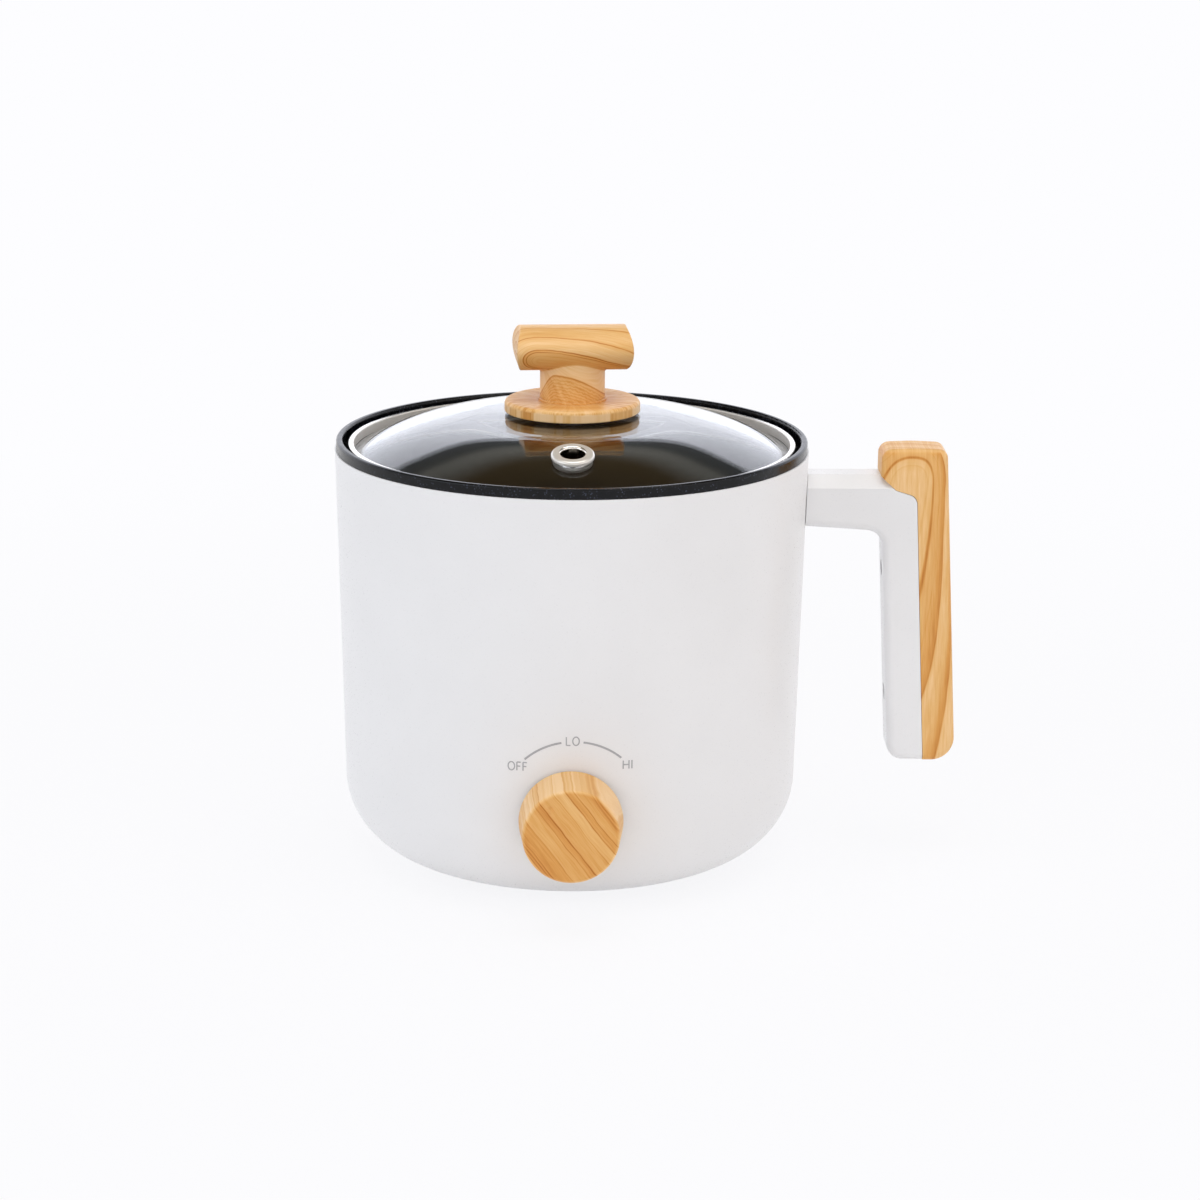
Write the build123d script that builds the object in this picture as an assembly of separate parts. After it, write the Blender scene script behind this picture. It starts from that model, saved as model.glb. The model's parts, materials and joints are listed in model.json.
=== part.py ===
from build123d import *
import math
import os

# Electric multicooker with a lift-off glass lid. Lengths are millimetres.
# The origin is on the pot's axis, on the surface that the feet stand on.
# +Z is up, the control knob faces -Y, the handle points to +X, the power inlet is at +Y.

# Shared fits
cut_over = 2.0  # how far a cutting tool runs past the face that it opens
seat_gap = 0.1  # between a piece and the curved or moving seat that it rests on
running_gap = 0.05  # radial clearance of the turning shaft
hole_gap = 0.25  # radial clearance of a screw or bush in its hole
thread_gap = 0.05  # radial clearance of a screw in its thread
panel_gap = 0.3  # between two mouldings that lie side by side

# Cross slot of every screw, as shares of its head's radius and height
drive_length_share = 1.2
drive_width_share = 0.28
drive_depth_share = 0.55

# Outer shell
rim_radius = 86.5
rim_step = 0.5  # how far the shell's top stands out past the rim
rim_top = 158.0
rim_height = 3.8
shell_bottom = 3.0  # plane that the rounded lower corner is tangent to
shell_taper = 3.4  # how much narrower the shell is at its foot than at the rim
shell_corner = 28.0
shell_wall = 2.5
shell_flange = 2.5  # inner ring that the base plate closes against
shell_flange_width = 3.5
shell_gap = 0.2  # between the stepped mouth of the pot and the shell's lip

# Inner pot
rim_width = 2.4  # of the ring round the lid
pot_lip_wall = 1.2
pot_wall = 1.6
ledge_width = 5.2  # of the step that carries the lid
pot_draft = 2.9  # how much narrower the pot is at its floor
pot_floor = 66.0
pot_base = 2.0
pot_corner = 12.0
pot_edge = 0.8  # rounding of the rim and the ledge
seal_height = 1.5
seal_width = 1.3

# Heater under the pot
plate_inset = 16.5  # of the plate inside the pot's floor
plate_height = 5.0
tube_radius = 3.3
tube_inset = 17.0  # of the tube's ring inside the plate
tube_bend = 7.0
tube_tail = 5.0
tube_gap_angle = 56.0
pin_radius = 1.3
pin_length = 7.0
shield_sheet = 0.8
shield_rim = 4.0
shield_drop = 7.0  # plate down to the shield
tail_hole = 6.0
stud_inset = 10.0  # of the studs' circle inside the plate
stud_angle = 70.0
stud_radius = 3.6
stud_neck = 3.0
stud_nut_flats = 8.0
stud_nut_height = 3.0
thermostat_radius = 8.0
thermostat_height = 10.0
thermostat_ear_length = 30.0
thermostat_ear_width = 9.0
thermostat_ear_sheet = 1.0
thermostat_screw_pitch = 23.0
thermostat_hole = 18.5
fuse_radius = 2.2
fuse_length = 16.0
fuse_edge = 0.7
fuse_y = 24.0
fuse_x = -14.0
clip_width = 8.0
clip_sheet = 0.8
clip_foot = 5.0

# Base plate, feet and their screws
base_inset = 21.6  # of the base opening inside the shell's foot
base_thickness = 2.5
base_rib = 1.6
base_rib_height = 3.0
vent_slot_width = 2.5
vent_slot_length = 18.0
vent_slot_clear = 5.5  # between the slots and the feet
vent_slot_turn = 7.5
vent_slots = 12
foot_count = 3
foot_inset = 10.0  # of the feet's circle inside the base opening
foot_angle = 90.0  # of the foot at the back
foot_radius = 8.5
foot_sole = 7.6
foot_edge = 0.6
foot_stem = 3.0
foot_button = 3.8
foot_button_height = 1.6
base_screw_radius = 2.0
base_screw_head = 3.8
base_screw_head_height = 1.8
base_screw_reach = 12.0

# Control knob and rotary switch
knob_z = 38.2
knob_reach = 19.2  # shell to the knob's front
knob_clear = 1.0  # shell to the knob's back
knob_front_radius = 16.9
knob_back_radius = 18.5
knob_edge = 1.7
knob_back_edge = 0.6
knob_wall = 2.2
knob_hub = 6.0
knob_rib = 1.4
knob_ribs = 4
dimple_radius = 2.2
dimple_depth = 0.5
dimple_place = 12.4  # from the knob's axis
dimple_angle = 125.0
switch_size = 26.0
switch_depth = 18.0
switch_edge = 2.0
switch_pad = 34.0
switch_pad_depth = 4.6  # shell's face to the flat inside
switch_spot_depth = 0.8
switch_spot_radius = 9.0
bush_radius = 4.5
bush_reach = 2.7  # past the shell's face
switch_nut_flats = 12.0
switch_nut_height = 2.0
shaft_radius = 3.0
shaft_flat = 1.9
shaft_inside = 12.0
hub_setback = 1.2
tab_width = 5.0
tab_sheet = 0.8
tab_length = 7.0
switch_tab_pitch = 8.0
tab_count = 3

# Power inlet
inlet_recess = 3.2
inlet_pad = 2.5
inlet_width = 40.0
inlet_height = 25.0
inlet_edge = 4.0
inlet_flange = 2.0
socket_edge = 3.0
socket_depth = 15.0
inlet_wall = 1.7
inlet_side = 6.1  # of the flange beside the socket, where the screws sit
inlet_sill = 2.6  # of the flange above and below the socket
inlet_back = 4.0
inlet_screw_margin = 3.7
inlet_screw_radius = 1.5
inlet_screw_head = 2.7
inlet_screw_head_height = 1.6
inlet_screw_reach = 6.0
blade_width = 4.0
blade_sheet = 2.0
blade_length = 13.0
blade_share = 0.287  # pitch of the pins, of the socket's width
earth_share = 0.268  # rise of the earth pin above the other two, of the socket's height

# Handle
handle_depth = 18.0
handle_height = 119.0
arm_drop = 12.7  # rim down to the arm's top
arm_height = 19.0
arm_slope = 2.0  # fall of the arm's underside towards the grip
arm_chamfer = 4.4
arm_root_depth = 1.5  # how far the arm's block is drawn inside the shell before it is trimmed
head_rise = 9.9  # arm's top up to the head's top
head_crown = 0.5
head_gap = 26.5  # shell's top out to the head
head_width = 24.2
head_left_edge = 4.0
head_right_edge = 3.4
finger_gap = 27.5  # shell's top out to the grip
grip_lean = 4.5  # of the grip's finger side
outer_lean = 6.7  # of the grip's outer side
grip_inner_corner = 6.0
grip_outer_corner = 8.5
finger_corner = 6.5
finger_edge = 3.2
wood_edge = 2.4
seam_inset = 13.4  # head's inner side out to the straight seam
seam_lean = 5.35
seam_drop = 7.5  # arm's top down to the seam's shoulder
seam_step = 5.4  # head's inner side out to the seam's bend
seam_fall = 5.0  # arm's top down to the seam's bend
seam_bend = 1.8
seam_shoulder = 3.8
seam_gap = 0.15
crown_bend = 60.0
grip_wall = 2.6
pocket_clear_top = 1.3
pocket_clear_bottom = 8.8
pocket_edge = 3.0
grip_boss = 4.4
grip_screw_radius = 1.5
grip_screw_head = 2.8
grip_screw_head_height = 1.8
grip_screw_inset = 16.0  # from each end of the hollow
grip_screw_reach = 7.0
grip_screw_seat = 9.8  # seam in to the underside of the head
handle_bolt_drop = 9.8  # arm's top down to the middle of the bolts
handle_bolt_pitch = 7.8
handle_bolt_radius = 1.9
handle_bolt_head = 3.4
handle_bolt_head_height = 1.4
handle_bolt_reach = 13.0
bracket_sheet = 1.0
bracket_height = 15.0
bracket_width = 14.0

# Lid
lid_gap = 1.9  # between the lid and the wall round it
band_drop = 1.5  # rim down to the band's top
band_sheet = 0.5
band_flange = 2.2
# Dome's outer face, a flat crown and a rounder shoulder, as shares of the lid's radius
crown_share = 7.3
crown_reach_share = 0.438
shoulder_share = 1.192
dome_rise_share = 0.1316
glass_thickness = 3.5
vent_inset = 25.7  # of the steam vent inside the lid's edge
vent_bore = 4.3
vent_tube = 0.9
vent_lip = 7.7
vent_lip_height = 1.6
vent_lip_edge = 1.1
vent_foot = 7.0
vent_foot_height = 0.9
disc_radius = 24.9
disc_height = 4.3
disc_top_edge = 1.5
disc_under_edge = 0.5
disc_lift = 0.5  # dome's top to the disc
pad_radius = 20.0
stem_radius = 11.9
stem_foot_radius = 12.5
stem_foot_height = 0.9
bar_rise = 19.2  # disc up to the middle of the bar
bar_height = 16.1
bar_depth = 28.0
bar_length = 42.4
bar_dome = 1.85
bar_edge = 0.7
bar_turn = 4.5  # of the bar about the lid's axis
stem_blend = 1.0
insert_radius = 4.2
insert_length = 13.0
lid_screw_radius = 2.5
lid_screw_head = 5.0
lid_screw_head_height = 2.6
lid_washer_radius = 8.5
lid_washer_height = 1.4

# Wiring
wire_radius = 1.1
wire_bend = 6.0
earth_bend = 4.0
earth_tag_radius = 4.6
earth_tag_sheet = 0.8
earth_tail_share = 0.56  # of the stud's distance from the middle plane
earth_tag_width = 4.0
wire_lead = 15.0  # straight run at each terminal
# Turns of each wire between its leads, as shares of the studs' circle and of the shield's height
line_shares = [(0.48, 0.56, 0.46), (0.52, -0.2, 0.38)]
neutral_shares = [(0.08, 0.6, 0.46), (0.64, 0.4, 0.31)]
switched_shares = [(-0.08, -0.16, 0.38)]
fuse_shares = [(0.16, 0.32, 0.65)]
heater_shares = [(-0.6, 0.12, 0.46), (-0.12, -0.4, 0.27), (0.56, -0.48, 0.31)]

# Places that follow from the sizes above
shell_top = rim_top - rim_height
shell_top_radius = rim_radius + rim_step
shell_base_radius = shell_top_radius - shell_taper
recess_radius = rim_radius - rim_width
pot_radius = recess_radius - ledge_width
pot_base_radius = pot_radius - pot_draft
lid_radius = recess_radius - lid_gap
base_opening = shell_base_radius - base_inset
plate_radius = pot_base_radius - plate_inset
tube_ring_radius = plate_radius - tube_inset
stud_pitch = plate_radius - stud_inset
foot_pitch = base_opening - foot_inset
vent_slot_outer = foot_pitch - foot_radius - vent_slot_clear
shell_slope = (shell_top_radius - shell_base_radius) / (shell_top - shell_bottom)
corner_centre = shell_base_radius + shell_corner * (shell_slope - math.hypot(1, shell_slope))
corner_reach = base_opening - corner_centre
base_z = shell_bottom + shell_corner - math.sqrt(shell_corner**2 - corner_reach**2)
base_top = base_z + base_thickness
mouth_radius = recess_radius + pot_lip_wall
plate_top = pot_floor - pot_base
plate_bottom = plate_top - plate_height
shield_top = plate_bottom - shield_drop
tail_end = plate_bottom - tube_bend - tube_tail
band_top = rim_top - band_drop
crown_radius = lid_radius * crown_share
crown_reach = lid_radius * crown_reach_share
shoulder_radius = lid_radius * shoulder_share
dome_top = band_top + lid_radius * dome_rise_share
crown_lean = math.asin(crown_reach / crown_radius)
crown_centre = dome_top - crown_radius
shoulder_x = crown_reach - shoulder_radius * math.sin(crown_lean)
shoulder_z = crown_centre + (crown_radius - shoulder_radius) * math.cos(crown_lean)
glass_edge = lid_radius - band_sheet - seat_gap
glass_under = shoulder_z + math.sqrt(
    (shoulder_radius - glass_thickness) ** 2 - (glass_edge - shoulder_x) ** 2
)
band_bottom = glass_under - seat_gap - band_sheet
ledge_z = band_bottom - seat_gap
mouth_bottom = ledge_z - pot_lip_wall
disc_bottom = dome_top + disc_lift
disc_top = disc_bottom + disc_height
bar_z = disc_top + bar_rise
vent_y = vent_inset - lid_radius
earth_z = shield_top - shield_sheet - stud_nut_height - earth_tag_sheet / 2
socket_width = inlet_width - 2 * (inlet_wall + inlet_side)
socket_height = inlet_height - 2 * (inlet_wall + inlet_sill)
inlet_screw_pitch = inlet_width - 2 * inlet_screw_margin
blade_pitch = socket_width * blade_share
earth_rise = socket_height * earth_share
inlet_z = earth_z - earth_rise
arm_top = rim_top - arm_drop
arm_under_root = arm_top - arm_height
arm_under_end = arm_under_root - arm_slope
head_top = arm_top + head_rise
head_left = shell_top_radius + head_gap
head_right = head_left + head_width
grip_bottom = head_top - handle_height
grip_inner_top = shell_top_radius + finger_gap
grip_inner_bottom = grip_inner_top + grip_lean
grip_outer_bottom = head_right + outer_lean
grip_span = grip_outer_bottom - grip_inner_top
seam_x_top = head_left + seam_inset
seam_z_top = arm_top - seam_drop
seam_slope = seam_lean / (seam_z_top - grip_bottom)
pocket_top = arm_under_root - pocket_clear_top
pocket_bottom = grip_bottom + pocket_clear_bottom
grip_screw_heights = (pocket_top - grip_screw_inset, pocket_bottom + grip_screw_inset)
bolt_middle = arm_top - handle_bolt_drop
handle_bolt_heights = (bolt_middle - handle_bolt_pitch / 2, bolt_middle + handle_bolt_pitch / 2)


def shell_radius(z):
    """Outer radius of the tapered shell at a height above its rounded corner."""
    return shell_base_radius + (z - shell_bottom) * shell_slope


front_radius = shell_radius(knob_z)
switch_face = front_radius - switch_pad_depth
inlet_face = shell_radius(inlet_z) - inlet_recess
knob_plane = Plane((0, -front_radius, knob_z), x_dir=(1, 0, 0), z_dir=(0, -1, 0))
inlet_plane = Plane((0, inlet_face, inlet_z), x_dir=(-1, 0, 0), z_dir=(0, 1, 0))


def outline(corners):
    """Face in the XZ plane from (x, z, rounding) corners."""
    points = [(x, 0, z) for x, z, _ in corners]
    return make_face(FilletPolyline(*points, radius=[edge for *_, edge in corners], close=True))


def turned(corners):
    """Solid turned about Z from (radius, z, rounding) corners."""
    return revolve(outline(corners), Axis.Z)


def slab(corners, depth):
    """Solid of the given depth along Y, centred on the XZ plane."""
    return extrude(outline(corners), depth / 2, dir=(0, 1, 0), both=True)


def rod(radius, low, high):
    """Cylinder about Z between two heights."""
    return Pos(0, 0, low) * extrude(Circle(radius), high - low)


def hexagon(flats, low, high):
    """Hexagonal prism about Z between two heights."""
    return Pos(0, 0, low) * extrude(RegularPolygon(flats / 2, 6, major_radius=False), high - low)


def screw(head, head_height, shank, reach):
    """Screw along +Z with its head's underside on the XY plane."""
    dome = head_height / 2
    top = turned([(0, -head_height, 0), (head, -head_height, dome), (head, 0, 0), (0, 0, 0)])
    depth = 2 * head_height * drive_depth_share
    slot = Box(head * drive_length_share, head * drive_width_share, depth)
    for turn in (0, 90):
        top -= Pos(0, 0, -head_height) * Rot(0, 0, turn) * slot
    return top + rod(shank, 0, reach)


def round_the_feet():
    """Places of the feet."""
    return PolarLocations(foot_pitch, foot_count, start_angle=foot_angle)


def round_the_studs():
    """Places of the studs that tie the pot to the base plate."""
    return PolarLocations(stud_pitch, foot_count, start_angle=stud_angle)


def shell_block():
    """Outside of the shell as one solid."""
    return turned([
        (0, shell_bottom, 0),
        (shell_base_radius, shell_bottom, shell_corner),
        (shell_top_radius, shell_top, 0),
        (0, shell_top, 0),
    ])


def outer_shell():
    inside_floor = shell_bottom + shell_wall
    inside_top = shell_top + cut_over
    inside = turned([
        (0, inside_floor, 0),
        (shell_radius(inside_floor) - shell_wall, inside_floor, shell_corner - shell_wall),
        (shell_radius(inside_top) - shell_wall, inside_top, 0),
        (0, inside_top, 0),
    ])
    block = shell_block()
    flange = rod(shell_base_radius, base_top, base_top + shell_flange)
    flange -= rod(base_opening - shell_flange_width, base_top, base_top + shell_flange)
    switch_flat = knob_plane * Pos(0, 0, -switch_pad_depth) * extrude(
        RectangleRounded(switch_pad, switch_pad, switch_edge), switch_pad_depth
    )
    pad_width = inlet_width + 2 * inlet_pad
    pad_height = inlet_height + 2 * inlet_pad
    inlet_flat = inlet_plane * Pos(0, 0, -inlet_pad) * extrude(
        RectangleRounded(pad_width, pad_height, inlet_edge), inlet_pad + inlet_recess
    )
    shell = block - inside
    shell += (flange + switch_flat + inlet_flat) & block
    shell -= rod(base_opening, 0, base_top)
    shell -= rod(mouth_radius + shell_gap, mouth_bottom - seal_height, inside_top)
    shell -= knob_plane * rod(switch_spot_radius, -switch_spot_depth, cut_over)
    shell -= knob_plane * rod(bush_radius + hole_gap, -switch_pad_depth - cut_over, 0)
    shell -= inlet_plane * extrude(
        RectangleRounded(inlet_width + panel_gap, inlet_height + panel_gap, inlet_edge),
        inlet_recess + cut_over,
    )
    shell -= inlet_plane * Pos(0, 0, -inlet_pad - cut_over) * extrude(
        RectangleRounded(
            socket_width + 2 * inlet_wall + panel_gap,
            socket_height + 2 * inlet_wall + panel_gap,
            socket_edge + inlet_wall,
        ),
        inlet_pad + 2 * cut_over,
    )
    for place in inlet_screw_places():
        shell -= inlet_plane * place * rod(inlet_screw_radius + thread_gap, -inlet_pad - cut_over, 0)
    for place in handle_bolt_places():
        shell -= place * rod(handle_bolt_radius + hole_gap, -shell_wall - cut_over, cut_over)
    return shell


def inner_pot():
    return turned([
        (0, plate_top, 0),
        (pot_base_radius + pot_wall, plate_top, pot_corner + pot_wall),
        (pot_radius + pot_wall, mouth_bottom, 0),
        (mouth_radius, mouth_bottom, pot_edge),
        (mouth_radius, shell_top, 0),
        (rim_radius, shell_top, 0),
        (rim_radius, rim_top, pot_edge),
        (recess_radius, rim_top, pot_edge),
        (recess_radius, ledge_z, pot_edge),
        (pot_radius, ledge_z, pot_edge),
        (pot_base_radius, pot_floor, pot_corner),
        (0, pot_floor, 0),
    ])


def rim_seal():
    outer = rod(mouth_radius - pot_edge, mouth_bottom - seal_height, mouth_bottom)
    return outer - rod(mouth_radius - pot_edge - seal_width, mouth_bottom - seal_height, mouth_bottom)


def tube_path():
    """Line of the heating tube: down at one end, round the ring, down at the other."""
    start = tube_gap_angle / 2
    ring = CenterArc((0, 0, plate_bottom), tube_ring_radius, start, 360 - tube_gap_angle)
    down = Vector(0, 0, -1)
    lean = math.sqrt(1 / 2)
    edges = [ring]
    for end, away in ((0, -1), (1, 1)):
        foot = ring @ end
        along = (ring % end) * away
        mid = foot + along * (tube_bend * lean) + down * (tube_bend * (1 - lean))
        drop = foot + along * tube_bend + down * tube_bend
        edges += [ThreePointArc(foot, mid, drop), Line(drop, drop + down * tube_tail)]
    return Wire(edges)


def tube_ends():
    """Lower ends of the heating tube's two tails."""
    low = [v.center() for v in tube_path().vertices() if v.Z < tail_end + seat_gap]
    return sorted(low, key=lambda point: point.Y)


def heating_element():
    path = tube_path()
    return sweep(Plane(path @ 0, z_dir=path % 0) * Circle(tube_radius), path)


def element_pins():
    return [Pos(end.X, end.Y, 0) * rod(pin_radius, end.Z - pin_length, end.Z) for end in tube_ends()]


def heating_plate():
    plate = rod(plate_radius, plate_bottom, plate_top)
    groove = Pos(tube_ring_radius, 0, plate_bottom) * Rot(90, 0, 0) * Circle(tube_radius + seat_gap)
    plate -= revolve(groove, Axis.Z)
    for x in (-1, 1):
        place = Pos(x * thermostat_screw_pitch / 2, 0, plate_bottom)
        plate -= place * rod(inlet_screw_radius + thread_gap, -cut_over, plate_height - pot_base)
    return plate


def pot_studs():
    bore_end = base_top + base_screw_reach + cut_over
    bore = rod(base_screw_radius + thread_gap, base_top - cut_over, bore_end)
    stud = rod(stud_radius, shield_top, plate_bottom) + rod(stud_neck, base_top, shield_top)
    return [place * (stud - bore) for place in round_the_studs()]


def stud_nuts():
    low = shield_top - shield_sheet - stud_nut_height
    high = shield_top - shield_sheet
    nut = hexagon(stud_nut_flats, low, high) - rod(stud_neck + thread_gap, low, high)
    return [place * nut for place in round_the_studs()]


def heat_shield():
    bottom = shield_top - shield_sheet
    shield = rod(plate_radius, bottom, shield_top + shield_rim)
    shield -= rod(plate_radius - shield_sheet, shield_top, shield_top + shield_rim + cut_over)
    for place in round_the_studs():
        shield -= place * rod(stud_neck + hole_gap, bottom - cut_over, shield_top + cut_over)
    for end in tube_ends():
        shield -= Pos(end.X, end.Y, 0) * rod(tail_hole, bottom - cut_over, shield_top + cut_over)
    return shield - rod(thermostat_hole, bottom - cut_over, shield_top + cut_over)


def thermostat():
    low = plate_bottom - thermostat_height
    body = rod(thermostat_radius, low, plate_bottom)
    ears = extrude(
        SlotOverall(thermostat_ear_length, thermostat_ear_width), thermostat_ear_sheet
    )
    body += Pos(0, 0, plate_bottom - thermostat_ear_sheet) * ears
    for x in (-1, 1):
        place = Pos(x * thermostat_screw_pitch / 2, 0, plate_bottom)
        body -= place * rod(inlet_screw_radius + hole_gap, -thermostat_ear_sheet - cut_over, cut_over)
        tab = Pos(x * thermostat_radius / 2, 0, low - tab_length / 2)
        body += tab * Box(tab_sheet, tab_width, tab_length)
    return body


def thermostat_screws():
    reach = thermostat_ear_sheet + plate_height - pot_base - seat_gap
    one = screw(inlet_screw_head, inlet_screw_head_height, inlet_screw_radius, reach)
    height = plate_bottom - thermostat_ear_sheet
    return [Pos(x * thermostat_screw_pitch / 2, 0, height) * one for x in (-1, 1)]


def fuse_place():
    """Middle of the thermal fuse, which lies along X under the shield."""
    return Pos(fuse_x, fuse_y, shield_top - shield_sheet - fuse_radius - seat_gap)


def thermal_fuse():
    lying = Rot(0, 90, 0) * rod(fuse_radius, -fuse_length / 2, fuse_length / 2)
    return fuse_place() * fillet(lying.edges(), fuse_edge)


def fuse_clip():
    inner = fuse_radius + seat_gap
    outer = inner + clip_sheet
    wrap = slab([
        (-outer, inner, 0),
        (-outer, -outer, outer / 2),
        (outer, -outer, outer / 2),
        (outer, inner, 0),
    ], clip_width)
    wrap += slab([
        (-outer - clip_foot, inner - clip_sheet, 0),
        (outer + clip_foot, inner - clip_sheet, 0),
        (outer + clip_foot, inner, 0),
        (-outer - clip_foot, inner, 0),
    ], clip_width)
    wrap -= slab([
        (-inner, inner + cut_over, 0),
        (-inner, -inner, inner / 2),
        (inner, -inner, inner / 2),
        (inner, inner + cut_over, 0),
    ], clip_width + cut_over)
    return fuse_place() * Rot(0, 0, 90) * wrap


def base_plate():
    plate = rod(base_opening - panel_gap, base_z, base_top)
    rib_radius = base_opening - shell_flange_width - panel_gap
    plate += rod(rib_radius, base_top, base_top + base_rib_height)
    plate -= rod(rib_radius - base_rib, base_top, base_top + base_rib_height + cut_over)
    for place in round_the_studs():
        plate -= place * rod(base_screw_radius + hole_gap, base_z - cut_over, base_top + cut_over)
    for place in round_the_feet():
        plate -= place * rod(foot_stem + seat_gap, base_z - cut_over, base_top + cut_over)
    slot = extrude(SlotOverall(vent_slot_length, vent_slot_width), base_thickness + 2 * cut_over)
    middle = vent_slot_outer - vent_slot_length / 2
    for place in PolarLocations(middle, vent_slots, start_angle=vent_slot_turn):
        plate -= place * Pos(0, 0, base_z - cut_over) * slot
    return plate


def feet():
    foot = turned([
        (0, 0, 0),
        (foot_sole, 0, foot_edge),
        (foot_radius, base_z, 0),
        (foot_stem, base_z, 0),
        (foot_stem, base_top, 0),
        (foot_button, base_top, 0),
        (foot_stem, base_top + foot_button_height, 0),
        (0, base_top + foot_button_height, 0),
    ])
    return [place * foot for place in round_the_feet()]


def base_screws():
    reach = base_screw_reach + base_thickness
    one = screw(base_screw_head, base_screw_head_height, base_screw_radius, reach)
    return [place * Pos(0, 0, base_z) * one for place in round_the_studs()]


def control_knob():
    length = knob_reach - knob_clear
    front_wall = length - knob_wall
    knob = turned([
        (0, 0, 0),
        (knob_back_radius, 0, knob_back_edge),
        (knob_front_radius, length, knob_edge),
        (0, length, 0),
    ])
    hollow = turned([
        (0, -cut_over, 0),
        (knob_back_radius - knob_wall, -cut_over, 0),
        (knob_front_radius - knob_wall - knob_edge / 2, front_wall, knob_edge / 2),
        (0, front_wall, 0),
    ])
    hub_start = bush_reach - knob_clear + hub_setback
    core = rod(knob_hub, hub_start, front_wall)
    rib_span = 2 * knob_back_radius - knob_wall
    rib_height = front_wall - hub_start
    rib = Pos(0, 0, hub_start + rib_height / 2) * Box(rib_span, knob_rib, rib_height)
    for turn in range(knob_ribs // 2):
        core += Rot(0, 0, turn * 360 / knob_ribs) * rib
    knob = knob - hollow + (core & hollow)
    knob -= d_section(shaft_radius + thread_gap, shaft_flat + thread_gap, 0, front_wall)
    place = Rot(0, 0, dimple_angle) * Pos(dimple_place, 0, length + dimple_radius - dimple_depth)
    knob -= place * Sphere(dimple_radius)
    return knob_plane * Pos(0, 0, knob_clear) * knob


def d_section(radius, flat, low, high):
    """Round bar about Z with one flat."""
    bar = rod(radius, low, high)
    return bar - Pos(0, flat + radius / 2, (low + high) / 2) * Box(2 * radius, radius, high - low)


def switch_shaft():
    front_wall = knob_reach - knob_wall
    flat_start = bush_reach + hub_setback
    round_part = rod(shaft_radius, -switch_pad_depth - shaft_inside, flat_start)
    tip = d_section(shaft_radius, shaft_flat, flat_start, front_wall - seat_gap)
    return knob_plane * (round_part + tip)


def rotary_switch():
    body = Pos(0, 0, -switch_pad_depth - switch_depth) * extrude(
        RectangleRounded(switch_size, switch_size, switch_edge), switch_depth
    )
    body += rod(bush_radius, -switch_pad_depth, bush_reach)
    bore_end = -switch_pad_depth - shaft_inside - seat_gap
    body -= rod(shaft_radius + running_gap, bore_end, bush_reach + cut_over)
    return knob_plane * body


def switch_nut():
    low = -switch_spot_depth
    high = low + switch_nut_height
    nut = hexagon(switch_nut_flats, low, high)
    return knob_plane * (nut - rod(bush_radius + thread_gap, low, high))


def switch_tab_places():
    """Middles of the switch's terminal tabs, in the knob's plane."""
    back = -switch_pad_depth - switch_depth - tab_length / 2
    return [Pos((i - 1) * switch_tab_pitch, 0, back) for i in range(tab_count)]


def switch_tabs():
    return [knob_plane * place * Box(tab_sheet, tab_width, tab_length) for place in switch_tab_places()]


def inlet_screw_places():
    return [Pos(x * inlet_screw_pitch / 2, 0, 0) for x in (-1, 1)]


def blade_places():
    """Line, earth and neutral pins, in the inlet's plane."""
    return [Pos(-blade_pitch, 0, 0), Pos(0, earth_rise, 0), Pos(blade_pitch, 0, 0)]


def power_inlet():
    floor = inlet_flange - socket_depth
    flange = extrude(RectangleRounded(inlet_width, inlet_height, inlet_edge), inlet_flange)
    outside = RectangleRounded(
        socket_width + 2 * inlet_wall, socket_height + 2 * inlet_wall, socket_edge + inlet_wall
    )
    body = flange + Pos(0, 0, floor - inlet_back) * extrude(outside, socket_depth + inlet_back)
    socket = RectangleRounded(socket_width, socket_height, socket_edge)
    body -= Pos(0, 0, floor) * extrude(socket, socket_depth + cut_over)
    for place in blade_places():
        slot = Box(blade_sheet + 2 * thread_gap, blade_width + 2 * thread_gap, inlet_back + cut_over)
        body -= place * Pos(0, 0, floor - inlet_back / 2) * slot
    for place in inlet_screw_places():
        body -= place * rod(inlet_screw_radius + hole_gap, -cut_over, inlet_flange + cut_over)
    return inlet_plane * body


def inlet_pins():
    floor = inlet_flange - socket_depth
    tip = floor + blade_length
    blade = Pos(0, 0, (floor - inlet_back + tip) / 2) * Box(
        blade_sheet, blade_width, blade_length + inlet_back
    )
    blade = chamfer(blade.faces().sort_by(Axis.Z)[-1].edges(), blade_sheet / 4)
    tab = Pos(0, 0, floor - inlet_back - tab_length / 2) * Box(tab_sheet, blade_width, tab_length)
    return [inlet_plane * place * (blade + tab) for place in blade_places()]


def inlet_screws():
    one = screw(inlet_screw_head, inlet_screw_head_height, inlet_screw_radius, inlet_screw_reach)
    facing = Pos(0, 0, inlet_flange) * Rot(180, 0, 0)
    return [inlet_plane * place * facing * one for place in inlet_screw_places()]


def handle_bolt_places():
    """Planes of the handle's bolts, on the shell's outside, looking out along +X."""
    return [
        Plane((shell_radius(z), 0, z), x_dir=(0, 1, 0), z_dir=(1, 0, 0)).location
        for z in handle_bolt_heights
    ]


def seam_x(z):
    """Where the straight part of the handle's seam is at a height."""
    return seam_x_top + (seam_z_top - z) * seam_slope


def wood_side(shift):
    """Region outside the S-shaped seam, moved away from it by the given shift."""
    far_x = grip_outer_bottom + cut_over
    low_z = grip_bottom - cut_over
    return [
        (head_left, head_top + head_crown + cut_over, 0),
        (head_left, arm_top + shift, 0),
        (head_left + seam_step, arm_top - seam_fall + shift, seam_bend),
        (seam_x_top + shift, seam_z_top + shift, seam_shoulder),
        (seam_x(low_z) + shift, low_z, 0),
        (far_x, low_z, 0),
        (far_x, head_top + head_crown + cut_over, 0),
    ]


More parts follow.
